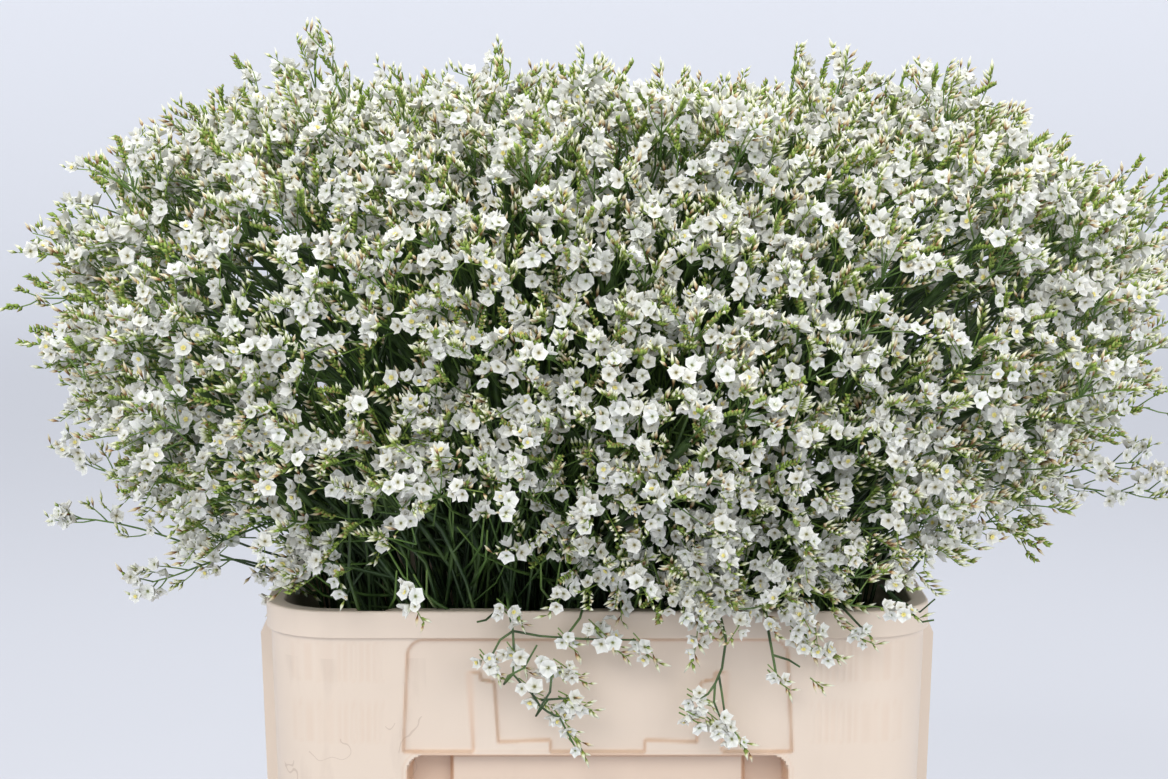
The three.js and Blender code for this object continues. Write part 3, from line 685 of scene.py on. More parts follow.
class Wiring:
    """Adds nodes to a tree; an input's value is a constant or another node's output"""

    def __init__(self, tree):
        self.tree = tree

    def add(self, kind, inputs=(), **settings):
        node = self.tree.nodes.new(kind)
        for name, value in settings.items():
            setattr(node, name, value)
        for place, value in dict(inputs).items():
            if isinstance(place, int):
                socket = node.inputs[place]
            else:
                socket = next(item for item in node.inputs if item.name == place and item.enabled)
            if isinstance(value, bpy.types.NodeSocket):
                self.tree.links.new(value, socket)
            else:
                socket.default_value = value
        return next((item for item in node.outputs if item.enabled), None)

    def math(self, operation, first, second=0.0):
        return self.add("ShaderNodeMath", {0: first, 1: second}, operation=operation)

    def vector(self, operation, first, second=(0, 0, 0)):
        node = self.add("ShaderNodeVectorMath", {0: first, 1: second}, operation=operation).node
        return node.outputs["Value" if operation == "DOT_PRODUCT" else "Vector"]

    def scaled(self, vector, scale):
        node = self.add("ShaderNodeVectorMath", {0: vector, "Scale": scale}, operation="SCALE").node
        return node.outputs["Vector"]

    def sum(self, *vectors):
        total = vectors[0]
        for vector in vectors[1:]:
            total = self.vector("ADD", total, vector)
        return total

    def named(self, name, kind="FLOAT"):
        return self.add("GeometryNodeInputNamedAttribute", {"Name": name}, data_type=kind)

    def random(self, low, high, seed, kind="FLOAT"):
        return self.add(
            "FunctionNodeRandomValue", {"Min": low, "Max": high, "Seed": seed}, data_type=kind,
        )

    def compare(self, operation, first, second):
        return self.add(
            "FunctionNodeCompare", {"A": first, "B": second}, operation=operation, data_type="FLOAT",
        )

    def less(self, first, second):
        return self.compare("LESS_THAN", first, second)

    def more(self, first, second):
        return self.compare("GREATER_THAN", first, second)

    def both(self, first, second):
        return self.add("FunctionNodeBooleanMath", {0: first, 1: second}, operation="AND")

    def either(self, first, second):
        return self.add("FunctionNodeBooleanMath", {0: first, 1: second}, operation="OR")

    def store(self, geometry, name, value, kind, domain):
        return self.add(
            "GeometryNodeStoreNamedAttribute", {"Geometry": geometry, "Name": name, "Value": value},
            data_type=kind, domain=domain,
        )

    def link(self, value, node, name):
        self.tree.links.new(value, node.inputs[name])

    def join(self, *parts):
        node = self.tree.nodes.new("GeometryNodeJoinGeometry")
        for part in parts:
            self.tree.links.new(part, node.inputs[0])
        return node.outputs[0]


def new_tree(name, sockets):
    tree = bpy.data.node_groups.new(name, "GeometryNodeTree")
    tree.interface.new_socket("Geometry", in_out="INPUT", socket_type="NodeSocketGeometry")
    tree.interface.new_socket("Geometry", in_out="OUTPUT", socket_type="NodeSocketGeometry")
    for label, kind in sockets.items():
        tree.interface.new_socket(label, in_out="INPUT", socket_type=kind)
    return tree, tree.nodes.new("NodeGroupInput"), Wiring(tree)


def finish_tree(tree, geometry):
    output = tree.nodes.new("NodeGroupOutput")
    tree.links.new(geometry, output.inputs[0])
    return tree


# Tiles along each side of the map of the flowers
TILES = 4


def tiled(wiring, geometry, row, column):
    """Moves each part's tile of the map to its row and column"""
    place = wiring.named("OFBake", "FLOAT_VECTOR")
    offset = wiring.add("ShaderNodeCombineXYZ", {"X": column, "Y": row})
    moved = wiring.scaled(wiring.vector("ADD", place, offset), 1 / TILES)
    return wiring.store(geometry, "OFBake", moved, "FLOAT2", "CORNER")


def twig_tree(bark):
    """Tubes along every line of the skeleton"""
    tree, given, wiring = new_tree("twigs", {"Sides": "NodeSocketInt"})
    curve = wiring.add("GeometryNodeMeshToCurve", {"Mesh": given.outputs["Geometry"]})
    circle = wiring.add("GeometryNodeCurvePrimitiveCircle", {
        "Resolution": given.outputs["Sides"], "Radius": 1.0,
    })
    factor = wiring.add("GeometryNodeSplineParameter").node.outputs["Factor"]
    circle = wiring.store(circle, "around", factor, "FLOAT", "POINT")
    tube = wiring.add("GeometryNodeCurveToMesh", {
        "Curve": curve, "Profile Curve": circle, "Scale": wiring.named("thickness"), "Fill Caps": True,
    })
    place = wiring.add("ShaderNodeCombineXYZ", {"X": wiring.named("around"), "Y": wiring.named("youth")})
    tube = wiring.store(tube, "OFBake", place, "FLOAT2", "CORNER")
    tube = wiring.add("GeometryNodeSetShadeSmooth", {"Geometry": tube, "Shade Smooth": True})
    tube = wiring.add("GeometryNodeRealizeInstances", {"Geometry": tube})
    return finish_tree(tree, wiring.add("GeometryNodeSetMaterial", {"Geometry": tube, "Material": bark}))


def spike_fields(wiring, given):
    """The spikes' points, the place of each along its flowering part, and the ways around it"""
    curve = wiring.add("GeometryNodeMeshToCurve", {"Mesh": given.outputs["Geometry"]})
    pitch = wiring.named("pitch")
    spikes = wiring.add(
        "GeometryNodeSeparateGeometry",
        {"Geometry": curve, "Selection": wiring.more(pitch, 0.0001)}, domain="CURVE",
    )
    spikes = wiring.add("GeometryNodeResampleCurve", {"Curve": spikes, "Length": pitch}, mode="LENGTH")
    parameter = wiring.add("GeometryNodeSplineParameter").node
    factor = parameter.outputs["Factor"]
    index = parameter.outputs["Index"]
    ahead = wiring.add("GeometryNodeInputTangent")
    facing = wiring.named("facing", "FLOAT_VECTOR")
    lean = wiring.vector("DOT_PRODUCT", facing, ahead)
    bare = wiring.named("bare")
    rest = wiring.math("SUBTRACT", 1.0, bare)
    along = wiring.math("DIVIDE", wiring.math("SUBTRACT", factor, bare), rest)
    outer = wiring.vector("NORMALIZE", wiring.vector("SUBTRACT", facing, wiring.scaled(ahead, lean)))
    side = wiring.vector("CROSS_PRODUCT", ahead, outer)
    parity = wiring.math("MODULO", index, 2.0)
    rank = wiring.math("SUBTRACT", wiring.math("MULTIPLY", parity, 2.0), 1.0)
    ranked = wiring.scaled(side, rank)
    return spikes, along, outer, ahead, ranked


def flower_tree(paper, yellow, ivory, scale_green):
    """Flowers, buds and bracts in two ranks along the spikes of the skeleton"""
    tree, given, wiring = new_tree("flowers", {
        "Calyx": "NodeSocketObject", "Corolla": "NodeSocketObject", "Bud": "NodeSocketObject",
        "Bract": "NodeSocketObject", "Calyx Size": "NodeSocketFloat", "Bud Size": "NodeSocketFloat",
        "Yellow Share": "NodeSocketFloat", "Seed": "NodeSocketInt",
    })
    seed = given.outputs["Seed"]
    spikes, along, outer, ahead, ranked = spike_fields(wiring, given)
    leafy = wiring.more(along, 0.0)

    def drawn(low, high, number, kind="FLOAT"):
        return wiring.random(low, high, wiring.math("ADD", seed, number), kind)

    def direction(out, forward, sideways, loose, number):
        return wiring.sum(
            wiring.scaled(outer, out), wiring.scaled(ahead, forward),
            wiring.scaled(ranked, sideways), drawn((-loose,) * 3, (loose,) * 3, number, "FLOAT_VECTOR"),
        )

    def spot(kind, size, where, way, sizes, number, row, material, smooth=False):
        """Sets a shape at some of a spike's points, each turned and sized at random"""
        aligned = wiring.add("FunctionNodeAlignRotationToVector", {"Vector": way}, axis="Z")
        spin = drawn(0.0, 2 * math.pi, number)
        spun = wiring.add("FunctionNodeAxisAngleToRotation", {"Axis": (0, 0, 1), "Angle": spin})
        turned = wiring.add(
            "FunctionNodeRotateRotation", {"Rotation": aligned, "Rotate By": spun}, rotation_space="LOCAL",
        )
        scale = wiring.math("MULTIPLY", drawn(*sizes, number + 1), given.outputs[size])
        scale = wiring.scaled(drawn(*SQUEEZE, number + 3, "FLOAT_VECTOR"), scale)
        shape = wiring.add("GeometryNodeObjectInfo", {"Object": given.outputs[kind]}).node
        placed = wiring.add("GeometryNodeInstanceOnPoints", {
            "Points": spikes, "Selection": where, "Instance": shape.outputs["Geometry"],
            "Rotation": turned, "Scale": scale,
        })
        placed = wiring.store(placed, "variety", drawn(0, TILES - 1, number + 2, "INT"), "FLOAT", "INSTANCE")
        solid = wiring.add("GeometryNodeRealizeInstances", {"Geometry": placed})
        solid = tiled(wiring, solid, row, wiring.named("variety"))
        solid = wiring.add("GeometryNodeSetShadeSmooth", {"Geometry": solid, "Shade Smooth": smooth})
        return wiring.add("GeometryNodeSetMaterial", {"Geometry": solid, "Material": material})

    chance = drawn(0.0, 1.0, 11)
    bloom = wiring.math("MULTIPLY", wiring.named("bloom"), wiring.less(along, FLOWERS_END))
    is_open = wiring.both(leafy, wiring.less(chance, bloom))
    closed = wiring.compare("GREATER_EQUAL", chance, wiring.math("MULTIPLY", bloom, CLOSED_FROM))
    braided = wiring.more(wiring.named("green"), 0.5)
    scarce = wiring.less(chance, GREEN_SPIKE_BUDS)
    unbraided = wiring.less(wiring.named("green"), 0.5)
    closed = wiring.both(wiring.both(leafy, closed), wiring.either(unbraided, scarce))
    scaly = wiring.less(drawn(0.0, 1.0, 15), SCALY_SHARE)
    scaly = wiring.both(leafy, wiring.either(braided, scaly))
    golden = wiring.less(drawn(0.0, 1.0, 12), given.outputs["Yellow Share"])
    golden = wiring.both(is_open, golden)
    flower_way = direction(*FLOWER_WAY, 13)
    bud_way = direction(*BUD_WAY, 14)
    return finish_tree(tree, wiring.join(
        spot("Calyx", "Calyx Size", is_open, flower_way, CALYX_SIZES, 20, 0, paper),
        spot("Corolla", "Calyx Size", golden, flower_way, CALYX_SIZES, 20, 3, yellow),
        spot("Bud", "Bud Size", closed, bud_way, BUD_SIZES, 30, 1, ivory, smooth=True),
        spot("Bract", "Bud Size", scaly, bud_way, BRACT_SIZES, 40, 2, scale_green, smooth=True),
    ))


def grown(name, skeleton, tree, values):
    """Runs a tree on a skeleton and keeps the result as a plain mesh"""
    source = skeleton.object(name + "_skeleton")
    modifier = source.modifiers.new("grow", "NODES")
    modifier.node_group = tree
    sockets = {
        item.name: item.identifier for item in tree.interface.items_tree
        if item.item_type == "SOCKET" and item.in_out == "INPUT"
    }
    for label, value in values.items():
        modifier[sockets[label]] = value
    graph = bpy.context.evaluated_depsgraph_get()
    mesh = bpy.data.meshes.new_from_object(source.evaluated_get(graph))
    mesh.name = name
    piece = linked(name, mesh)
    source.modifiers.remove(modifier)
    bpy.data.objects.remove(source)
    return piece


# Materials
def new_material(name, roughness):
    material = bpy.data.materials.new(name)
    material.use_nodes = True
    shader = material.node_tree.nodes["Principled BSDF"]
    shader.inputs["Roughness"].default_value = roughness
    return material, Wiring(material.node_tree), shader


def two_toned(name, roughness, run, rows, share):
    """A material whose colour runs from root to tip in two rows of colours, blended by a share"""
    material, wiring, shader = new_material(name, roughness)
    along = attribute(wiring, run)
    colours = [ramp(wiring, along, stops) for stops in rows]
    wiring.link(blended(wiring, share(wiring), *colours), shader, "Base Color")
    return material, shader


BLACK = (0, 0, 0)
WHITE = (1, 1, 1)


def ramp(wiring, factor, stops):
    """Colours along a factor, each stop a place and a colour"""
    node = wiring.tree.nodes.new("ShaderNodeValToRGB")
    wiring.tree.links.new(factor, node.inputs[0])
    elements = node.color_ramp.elements
    while len(elements) < len(stops):
        elements.new(0.5)
    for element, (place, colour) in zip(elements, stops):
        element.position = place
        element.color = (*colour, 1)
    return node.outputs[0]


def attribute(wiring, name):
    """A value that the mesh keeps at its corners"""
    return wiring.add("ShaderNodeAttribute", attribute_name=name).node.outputs["Fac"]


def blended(wiring, factor, first, second):
    """A mix of two colours, each one given or another node's output"""
    node = wiring.tree.nodes.new("ShaderNodeMix")
    node.data_type = "RGBA"
    for place, value in ((0, factor), (6, first), (7, second)):
        if isinstance(value, bpy.types.NodeSocket):
            wiring.tree.links.new(value, node.inputs[place])
        else:
            node.inputs[place].default_value = value if place == 0 else (*value, 1)
    return node.outputs[2]


def paper_material():
    """White papery calyx: dark eye, greenish throat and white edge, some a little aged"""
    fresh = (
        (0.0, (0.12, 0.12, 0.03)), (0.12, (0.16, 0.17, 0.05)), (0.22, (0.46, 0.50, 0.36)),
        (0.34, (0.65, 0.66, 0.605)), (1.0, (0.775, 0.78, 0.74)),
    )
    aged = (
        (0.0, (0.13, 0.11, 0.03)), (0.14, (0.20, 0.17, 0.06)), (0.26, (0.48, 0.46, 0.34)),
        (0.4, (0.62, 0.61, 0.535)), (1.0, (0.745, 0.74, 0.69)),
    )

    def share(wiring):
        return wiring.math("MULTIPLY", attribute(wiring, "variety"), 1 / (TILES - 1))

    material, shader = two_toned("calyx_paper", 0.62, "along", (fresh, aged), share)
    shader.inputs["Specular IOR Level"].default_value = 0.3
    return material


def yellow_material():
    """Petals, deeper yellow at the middle"""
    material, wiring, shader = new_material("corolla_yellow", 0.6)
    stops = ((0.0, (0.56, 0.46, 0.08)), (1.0, (0.80, 0.72, 0.28)))
    wiring.link(ramp(wiring, attribute(wiring, "along"), stops), shader, "Base Color")
    return material


def variety_above(limit):
    """Whether a shape is one of the higher varieties"""
    return lambda wiring: wiring.math("GREATER_THAN", attribute(wiring, "variety"), limit)


def ivory_material():
    """Closed buds: green foot, ivory body, some with a rusty scale and a warmer tip"""
    pale = (
        (0.0, (0.13, 0.21, 0.03)), (0.42, (0.30, 0.38, 0.06)), (0.55, (0.68, 0.70, 0.44)),
        (1.0, (0.86, 0.86, 0.76)),
    )
    blush = (
        (0.0, (0.15, 0.21, 0.03)), (0.36, (0.30, 0.12, 0.045)), (0.54, (0.58, 0.46, 0.25)),
        (1.0, (0.85, 0.83, 0.66)),
    )
    return two_toned("bud_ivory", 0.55, "along", (pale, blush), variety_above(2.5))[0]


def bract_material():
    """Green scales, half of them with rusty tips"""
    green = ((0.0, (0.12, 0.20, 0.025)), (0.6, (0.24, 0.35, 0.05)), (1.0, (0.38, 0.46, 0.11)))
    rusty = ((0.0, (0.11, 0.19, 0.03)), (0.6, (0.23, 0.30, 0.055)), (1.0, (0.31, 0.12, 0.05)))
    return two_toned("bract_green", 0.6, "along", (green, rusty), variety_above(1.5))[0]


def bark_material():
    """Stems: green at the tips, darker green lower down, and near black at the foot and deep inside the mass
    as painted shade, with lighter patches
    """
    dark = (
        (0.0, (0.018, 0.042, 0.011)), (0.35, (0.026, 0.058, 0.014)), (0.6, (0.08, 0.16, 0.025)),
        (1.0, (0.22, 0.34, 0.05)),
    )
    light = (
        (0.0, (0.075, 0.125, 0.035)), (0.35, (0.07, 0.13, 0.03)), (0.6, (0.12, 0.21, 0.04)),
        (1.0, (0.26, 0.38, 0.07)),
    )

    def patches(wiring):
        return ramp(wiring, noise_at(wiring, object_place(wiring), 55), [(0.5, BLACK), (0.6, WHITE)])

    return two_toned("stem_green", 0.5, "youth", (dark, light), patches)[0]


def object_place(wiring):
    """Places in the piece's own frame, in metres"""
    return wiring.add("ShaderNodeTexCoord").node.outputs["Object"]


def noise_at(wiring, vector, scale, detail=3.0):
    inputs = {"Vector": vector, "Scale": scale, "Detail": detail}
    return wiring.add("ShaderNodeTexNoise", inputs).node.outputs[0]


def stretched(wiring, vector, scale):
    return wiring.add("ShaderNodeMapping", {"Vector": vector, "Scale": scale})


def bump(wiring, strength, distance, height):
    inputs = {"Strength": strength, "Distance": distance, "Height": height}
    return wiring.add("ShaderNodeBump", inputs)


# The rubbed field: left of, in front of and below these places, in metres
WORN_FIELD = (-0.098, -0.12, 0.262)
CREAM = ((0.3, (0.668, 0.556, 0.451)), (0.7, (0.695, 0.583, 0.478)))
# Darker, warmer cream painted into the recesses and along the relief's edges as shade
PAINTED_SHADE_CREAM = (0.56, 0.335, 0.20)
SMEAR_BROWN = (0.40, 0.31, 0.25)
SCRATCH_BROWN = (0.36, 0.25, 0.18)
SMEAR_SHARE = dict(field=0.2, elsewhere=0.04)
SCRATCH = dict(width=0.0035, patches=0.56, share=0.35)


def plastic_material():
    """Moulded cream plastic with soft mottling, rubbed marks and thin scratches, and painted shade in its
    recesses
    """
    material, wiring, shader = new_material("cream_plastic", 0.5)
    place = object_place(wiring)
    cream = ramp(wiring, noise_at(wiring, place, 9.0), CREAM)
    # Painted shade: darker cream where the recess attribute is high, in the wells and along the relief's
    # edges
    cream = blended(wiring, attribute(wiring, "recess"), cream, PAINTED_SHADE_CREAM)
    smear = noise_at(wiring, stretched(wiring, place, (60, 60, 14)), 1.0, 6.0)
    smear = ramp(wiring, smear, [(0.54, BLACK), (0.68, WHITE)])
    parts = wiring.add("ShaderNodeSeparateXYZ", {"Vector": place}).node.outputs
    aside, before, under = (wiring.math("LESS_THAN", parts[k], WORN_FIELD[k]) for k in range(3))
    left = wiring.math("MULTIPLY", wiring.math("MULTIPLY", aside, before), under)
    worn = wiring.math("MULTIPLY", left, SMEAR_SHARE["field"])
    worn = wiring.math("ADD", worn, SMEAR_SHARE["elsewhere"])
    colour = blended(wiring, wiring.math("MULTIPLY", smear, worn), cream, SMEAR_BROWN)
    curl = wiring.math("ABSOLUTE", wiring.math("SUBTRACT", noise_at(wiring, place, 26.0, 2.0), 0.5))
    hair = wiring.math("LESS_THAN", curl, SCRATCH["width"])
    patch = wiring.math("GREATER_THAN", noise_at(wiring, place, 17.0, 1.0), SCRATCH["patches"])
    scratched = wiring.math("MULTIPLY", wiring.math("MULTIPLY", hair, patch), left)
    scratched = wiring.math("MULTIPLY", scratched, SCRATCH["share"])
    colour = blended(wiring, scratched, colour, SCRATCH_BROWN)
    wiring.link(colour, shader, "Base Color")
    rough = ramp(wiring, noise_at(wiring, place, 40.0), [(0.3, (0.42,) * 3), (0.7, (0.52,) * 3)])
    wiring.link(rough, shader, "Roughness")
    wiring.link(bump(wiring, 0.05, 0.0004, noise_at(wiring, place, 900.0, 2.0)), shader, "Normal")
    return material


def water_material():
    """Still water, with a slow ripple"""
    material, wiring, shader = new_material("still_water", 0.06)
    place = object_place(wiring)
    wiring.link(bump(wiring, 0.1, 0.002, noise_at(wiring, place, 18.0)), shader, "Normal")
    tint = ramp(wiring, noise_at(wiring, place, 6.0), [(0.3, (0.55, 0.64, 0.56)), (0.7, (0.62, 0.70, 0.64))])
    wiring.link(tint, shader, "Base Color")
    shader.inputs["IOR"].default_value = 1.33
    shader.inputs["Transmission Weight"].default_value = 0.6
    return material


# How softly the container's relief turns, and how its panel, posts, sill and lip run
SOFT_EDGE = 1.6
PANEL_FLARE = 0.05
POST_SLOPE = dict(top=6.5, loss=4.5)
SILL_SAG = 0.03
LIP = dict(outer=3.6, inner=0.7, edge=0.8, rise=0.5)
# How the relief's steepness and depth turn into painted shade: darker cream along its steep edges and in the
# deep wells
RECESS_SHADE = dict(reach=0.8, steep=0.9, shallow=2, deep=26, most=0.5, edge=0.6)


def smooth_step(value, width):
    """From 0 to 1 as a distance passes from outside an edge to its inside"""
    t = np.clip(value / width + 0.5, 0, 1)
    return t * t * (3 - 2 * t)


def inside_box(x, drop, half, top, bottom, radius):
    """Distance inside a rectangle with round corners; negative outside it"""
    middle = (top + bottom) / 2
    px = np.abs(x) - (half - radius)
    pz = np.abs(drop - middle) - ((bottom - top) / 2 - radius)
    outside = np.hypot(np.maximum(px, 0), np.maximum(pz, 0))
    return radius - outside - np.minimum(np.maximum(px, pz), 0)


def front_relief(x, drop):
    """Depth of the front wall's relief behind its face"""
    flare = PANEL_FLARE * (drop - PANEL["top"])
    panel = inside_box(x, drop, PANEL["half"] + flare, PANEL["top"], PANEL["bottom"] + 20, PANEL["radius"])
    above_lip = smooth_step(PANEL["bottom"] - drop, 1.2)
    depth = PANEL["depth"] * smooth_step(panel, SOFT_EDGE) * above_lip
    down = np.clip((drop - FRAME["top"]) / (FRAME["bottom"] - FRAME["top"]), 0, 1)
    slope = POST_SLOPE["top"] - POST_SLOPE["loss"] * down
    posts = smooth_step(FRAME["half"] + slope / 2 - np.abs(x), slope) * smooth_step(drop - FRAME["top"], 1.4)
    fall = np.clip((drop - POCKET["top"]) / (POCKET["sill"] - POCKET["top"]), 0, 1)
    pocket_half = POCKET["upper"] + (POCKET["lower"] - POCKET["upper"]) * fall
    ledge = POCKET["ledge"] * smooth_step(POCKET["top"] - drop, 2.0)
    pocket = np.minimum(pocket_half + ledge - np.abs(x), POCKET["sill"] + SILL_SAG * np.abs(x) - drop)
    notch = FRAME["notch"] - np.abs(x)
    hollow = np.maximum(smooth_step(pocket, 1.8), smooth_step(notch, SOFT_EDGE))
    depth = depth * (1 - posts * (1 - hollow))
    alcove = inside_box(x, drop, ALCOVE["half"], ALCOVE["top"], ALCOVE["bottom"], ALCOVE["radius"])
    lip = smooth_step(alcove + LIP["outer"], LIP["edge"])
    lip = lip * (1 - smooth_step(alcove + LIP["inner"], LIP["edge"]))
    well = smooth_step(np.abs(x) - ALCOVE["well"], SOFT_EDGE)
    alcove_depth = ALCOVE["depth"] + (ALCOVE["well_depth"] - ALCOVE["depth"]) * well
    deep = smooth_step(alcove, SOFT_EDGE)
    depth = depth * (1 - deep) + alcove_depth * deep - LIP["rise"] * lip
    ribbed = smooth_step(np.abs(x) - RIBS["start"], 1.0) * smooth_step(RIBS["end"] - np.abs(x), 1.0)
    rows = sum(smooth_step(drop - top, 2.0) * smooth_step(foot - drop, 2.0) for top, foot in RIBS["bands"])
    wave = np.maximum(0, np.cos(2 * math.pi * (np.abs(x) - RIBS["start"]) / RIBS["pitch"])) ** 2
    return depth + RIBS["depth"] * ribbed * rows * wave


def painted_recess_shade(x, drop):
    """Painted shade, from 0 on the face to 1 in the wells and along the relief's steep edges"""
    reach = RECESS_SHADE["reach"]
    across = front_relief(x + reach, drop) - front_relief(x - reach, drop)
    upward = front_relief(x, drop + reach) - front_relief(x, drop - reach)
    edge = np.clip(np.hypot(across, upward) / (2 * reach) * RECESS_SHADE["steep"], 0, 1)
    depth = np.clip((front_relief(x, drop) - RECESS_SHADE["shallow"]) / RECESS_SHADE["deep"], 0, RECESS_SHADE["most"])
    return np.clip(edge * RECESS_SHADE["edge"] + depth, 0, 1)


# Stretches with closely set columns or rows: start, end and step
FINE_COLUMNS = (
    (25, 30, 0.9), (55.5, 61, 0.9), (66, 78, 1.2), (82, 86, 0.9), (97, 116, 1.3), (122, 148, 1.3),
)
FINE_ROWS = ((14, 46, 1.15), (68, 98, 1.15), (196, 208, 1.3))
COLUMNS = dict(last=146.5, widest=4.5, narrowest=0.8, lead=1)
ROWS = dict(first=2.0, last=284, step=4.4)
INNER_ROWS = (8, 20, 40, 60, 78, 81, 84, 110, 140, 170, 198, 208, 212, 240, 270, 282)
CORNER_COLUMNS = dict(front=26, back=12)
BACK_COLUMNS = 24
FOOT_RADIUS = 3
FOOT_INSET = 60
FLOOR_BEND = 12
FLOOR_INSET = 43.0
LIP_RADIUS = 1.5
EDGE_ANGLE = 42


def front_columns():
    """Places across the front wall, close together where the relief changes"""
    places = [0.0]
    lead = COLUMNS["lead"]
    while places[-1] < COLUMNS["last"]:
        here = places[-1]
        step = next((size for start, end, size in FINE_COLUMNS if start - lead <= here < end), None)
        if step is None:
            starts = (start - lead for start, _, _ in FINE_COLUMNS if start - lead > here)
            ahead = min(starts, default=FINE_COLUMNS[-1][1])
            step = min(COLUMNS["widest"], max(COLUMNS["narrowest"], ahead - here))
        places.append(here + step)
    half = np.array(places[1:])
    return np.concatenate([-half[::-1], [0.0], half])


def outline_columns():
    """The rim's outline: corner points, outward normals, and the wall each column is on"""
    across = RIM_LENGTH / 2 - CORNER_RADIUS
    along = RIM_DEPTH / 2 - CORNER_RADIUS
    points = []
    normals = []
    walls = []

    def put(x, y, angle, wall):
        normal = np.array([math.cos(angle), math.sin(angle)])
        points.append(np.array([x, y]) + CORNER_RADIUS * normal)
        normals.append(normal)
        walls.append(wall)

    def corner(x, y, start, count, wall):
        for k in range(count):
            put(x, y, start + math.pi / 2 * (k + 0.5) / count, wall)

    grip = GRIP["half"]
    edge = np.linspace(grip - 3, grip + 3, 5)
    side = np.array(sorted([*-edge, *np.linspace(-40, 40, 5), *edge, *(-along, -80, -70, 70, 80, along)]))
    front, back = CORNER_COLUMNS["front"], CORNER_COLUMNS["back"]
    for x in front_columns():
        put(x, -along, -math.pi / 2, "front")
    corner(across, -along, -math.pi / 2, front, "front")
    for y in side:
        put(across, y, 0.0, "end")
    corner(across, along, 0.0, back, "corner")
    for x in np.linspace(across, -across, BACK_COLUMNS):
        put(x, along, math.pi / 2, "back")
    corner(-across, along, math.pi / 2, back, "corner")
    for y in side[::-1]:
        put(-across, y, math.pi, "end")
    corner(-across, -along, math.pi, front, "front")
    return np.array(points), np.array(normals), walls


def wall_rows():
    """Drops below the rim's top, close together where the relief changes"""
    rows = [ROWS["first"]]
    while rows[-1] < ROWS["last"]:
        here = rows[-1]
        step = next((size for start, end, size in FINE_ROWS if start <= here < end), ROWS["step"])
        rows.append(here + step)
    return rows


def ring_faces(rings, count):
    """Faces between rings of the same count, from the first to the last"""
    faces = []
    for low in range(0, (rings - 1) * count, count):
        for k in range(count):
            after = (k + 1) % count
            faces.append((low + k, low + after, low + count + after, low + count + k))
    return faces


def container_rings():
    """Rings from the underside over the outer wall, lip and inner wall to the floor, and their painted shade
    """
    points, normals, walls = outline_columns()
    front = np.array([wall == "front" for wall in walls])
    ends = np.array([wall == "end" for wall in walls])
    across = points[:, 0]
    straight = RIM_LENGTH / 2 - CORNER_RADIUS
    round_corner = straight + CORNER_RADIUS * np.arcsin(np.clip(np.abs(normals[:, 0]), 0, 1))
    arc = np.where(np.abs(across) > straight, np.sign(across) * round_corner, across)
    rings = []
    painted_shades = []

    # tint is the ring's painted shade, darker in the recesses and the slots' notches
    def ring(offset, height, tint=0.0):
        painted_shades.append(np.broadcast_to(tint, (len(points),)))
        offset = np.broadcast_to(offset, (len(points),))
        flat = points - normals * offset[:, None]
        rings.append(np.column_stack([flat, np.broadcast_to(height, (len(points),))]))

    def outer(drop):
        offset = BAND_STEP * smooth_step(drop - RIM_BAND, 1.4) + DRAFT * max(0, drop - RIM_BAND)
        relief = np.where(front, front_relief(arc, drop), 0)
        lug = smooth_step(GRIP["half"] - np.abs(points[:, 1]), 3.0) * ends
        rise = np.clip(min(drop - GRIP["top"], GRIP["foot"] - drop) / GRIP["slope"], 0, 1)
        return offset + relief - lug * rise * GRIP["proud"]

    foot = outer(HEIGHT - 4)
    ring(foot + FOOT_INSET, 0.0)
    for turn in np.radians([0, 30, 60]):
        ring(foot + FOOT_RADIUS * (1 - math.sin(turn)), FOOT_RADIUS * (1 - math.cos(turn)))
    for drop in reversed(wall_rows()):
        # The front wall's rows take painted shade from the relief
        ring(outer(drop), HEIGHT - drop, np.where(front, painted_recess_shade(arc, drop), 0))
    for turn in np.radians([30, 60, 90]):
        ring(LIP_RADIUS * (1 - math.cos(turn)), HEIGHT - LIP_RADIUS * (1 - math.sin(turn)))
    slot = np.zeros(len(points))
    for place in SLOT["places"]:
        inside = smooth_step(SLOT["half"] - np.abs(across - place), 1.4)
        slot = np.maximum(slot, inside * (points[:, 1] < 0))
    top = HEIGHT - SLOT["depth"] * slot
    ring(SLOT["edge"], HEIGHT)
    # The slots' notches get painted shade, darker cream
    ring(SLOT["foot"], top, SLOT["tint"] * slot)
    for turn in np.radians([0, 30, 60, 90]):
        inward = LIP_WIDTH - LIP_RADIUS * (1 - math.sin(turn))
        ring(inward, top - LIP_RADIUS * (1 - math.cos(turn)), SLOT["tint"] * slot)
    for drop in INNER_ROWS:
        box = inside_box(arc, drop, BOSS["half"], BOSS["top"], BOSS["bottom"], BOSS["radius"])
        boss = np.where(front, BOSS["depth"] * smooth_step(box, 3.0), 0)
        ring(LIP_WIDTH + DRAFT * max(0, drop - RIM_BAND) + boss, HEIGHT - drop)
    ring(LIP_WIDTH + FLOOR_BEND, FLOOR)
    ring(FLOOR_INSET, FLOOR)
    return rings, painted_shades


def container_shell():
    """One closed skin: underside, outer wall, lip, inner wall and floor"""
    rings, painted_shades = container_rings()
    count = len(rings[0])
    under = len(rings) * count
    vertices = np.vstack([*rings, [0, 0, 0], [0, 0, FLOOR]])
    faces = ring_faces(len(rings), count)
    for k in range(count):
        after = (k + 1) % count
        faces.append((under, after, k))
        faces.append((under + 1, under - count + k, under - count + after))
    mesh = bpy.data.meshes.new("container_shell")
    mesh.from_pydata([tuple(vertex) for vertex in vertices * MM], [], faces)
    # The painted shade of the relief and the slots, kept as the recess attribute
    tint = mesh.attributes.new("recess", "FLOAT", "POINT")
    tint.data.foreach_set("value", np.concatenate([*painted_shades, [0, 0]]).astype(np.float32))
    mesh.shade_smooth()
    mesh.set_sharp_from_angle(angle=math.radians(EDGE_ANGLE))
    return linked("container_shell", mesh)


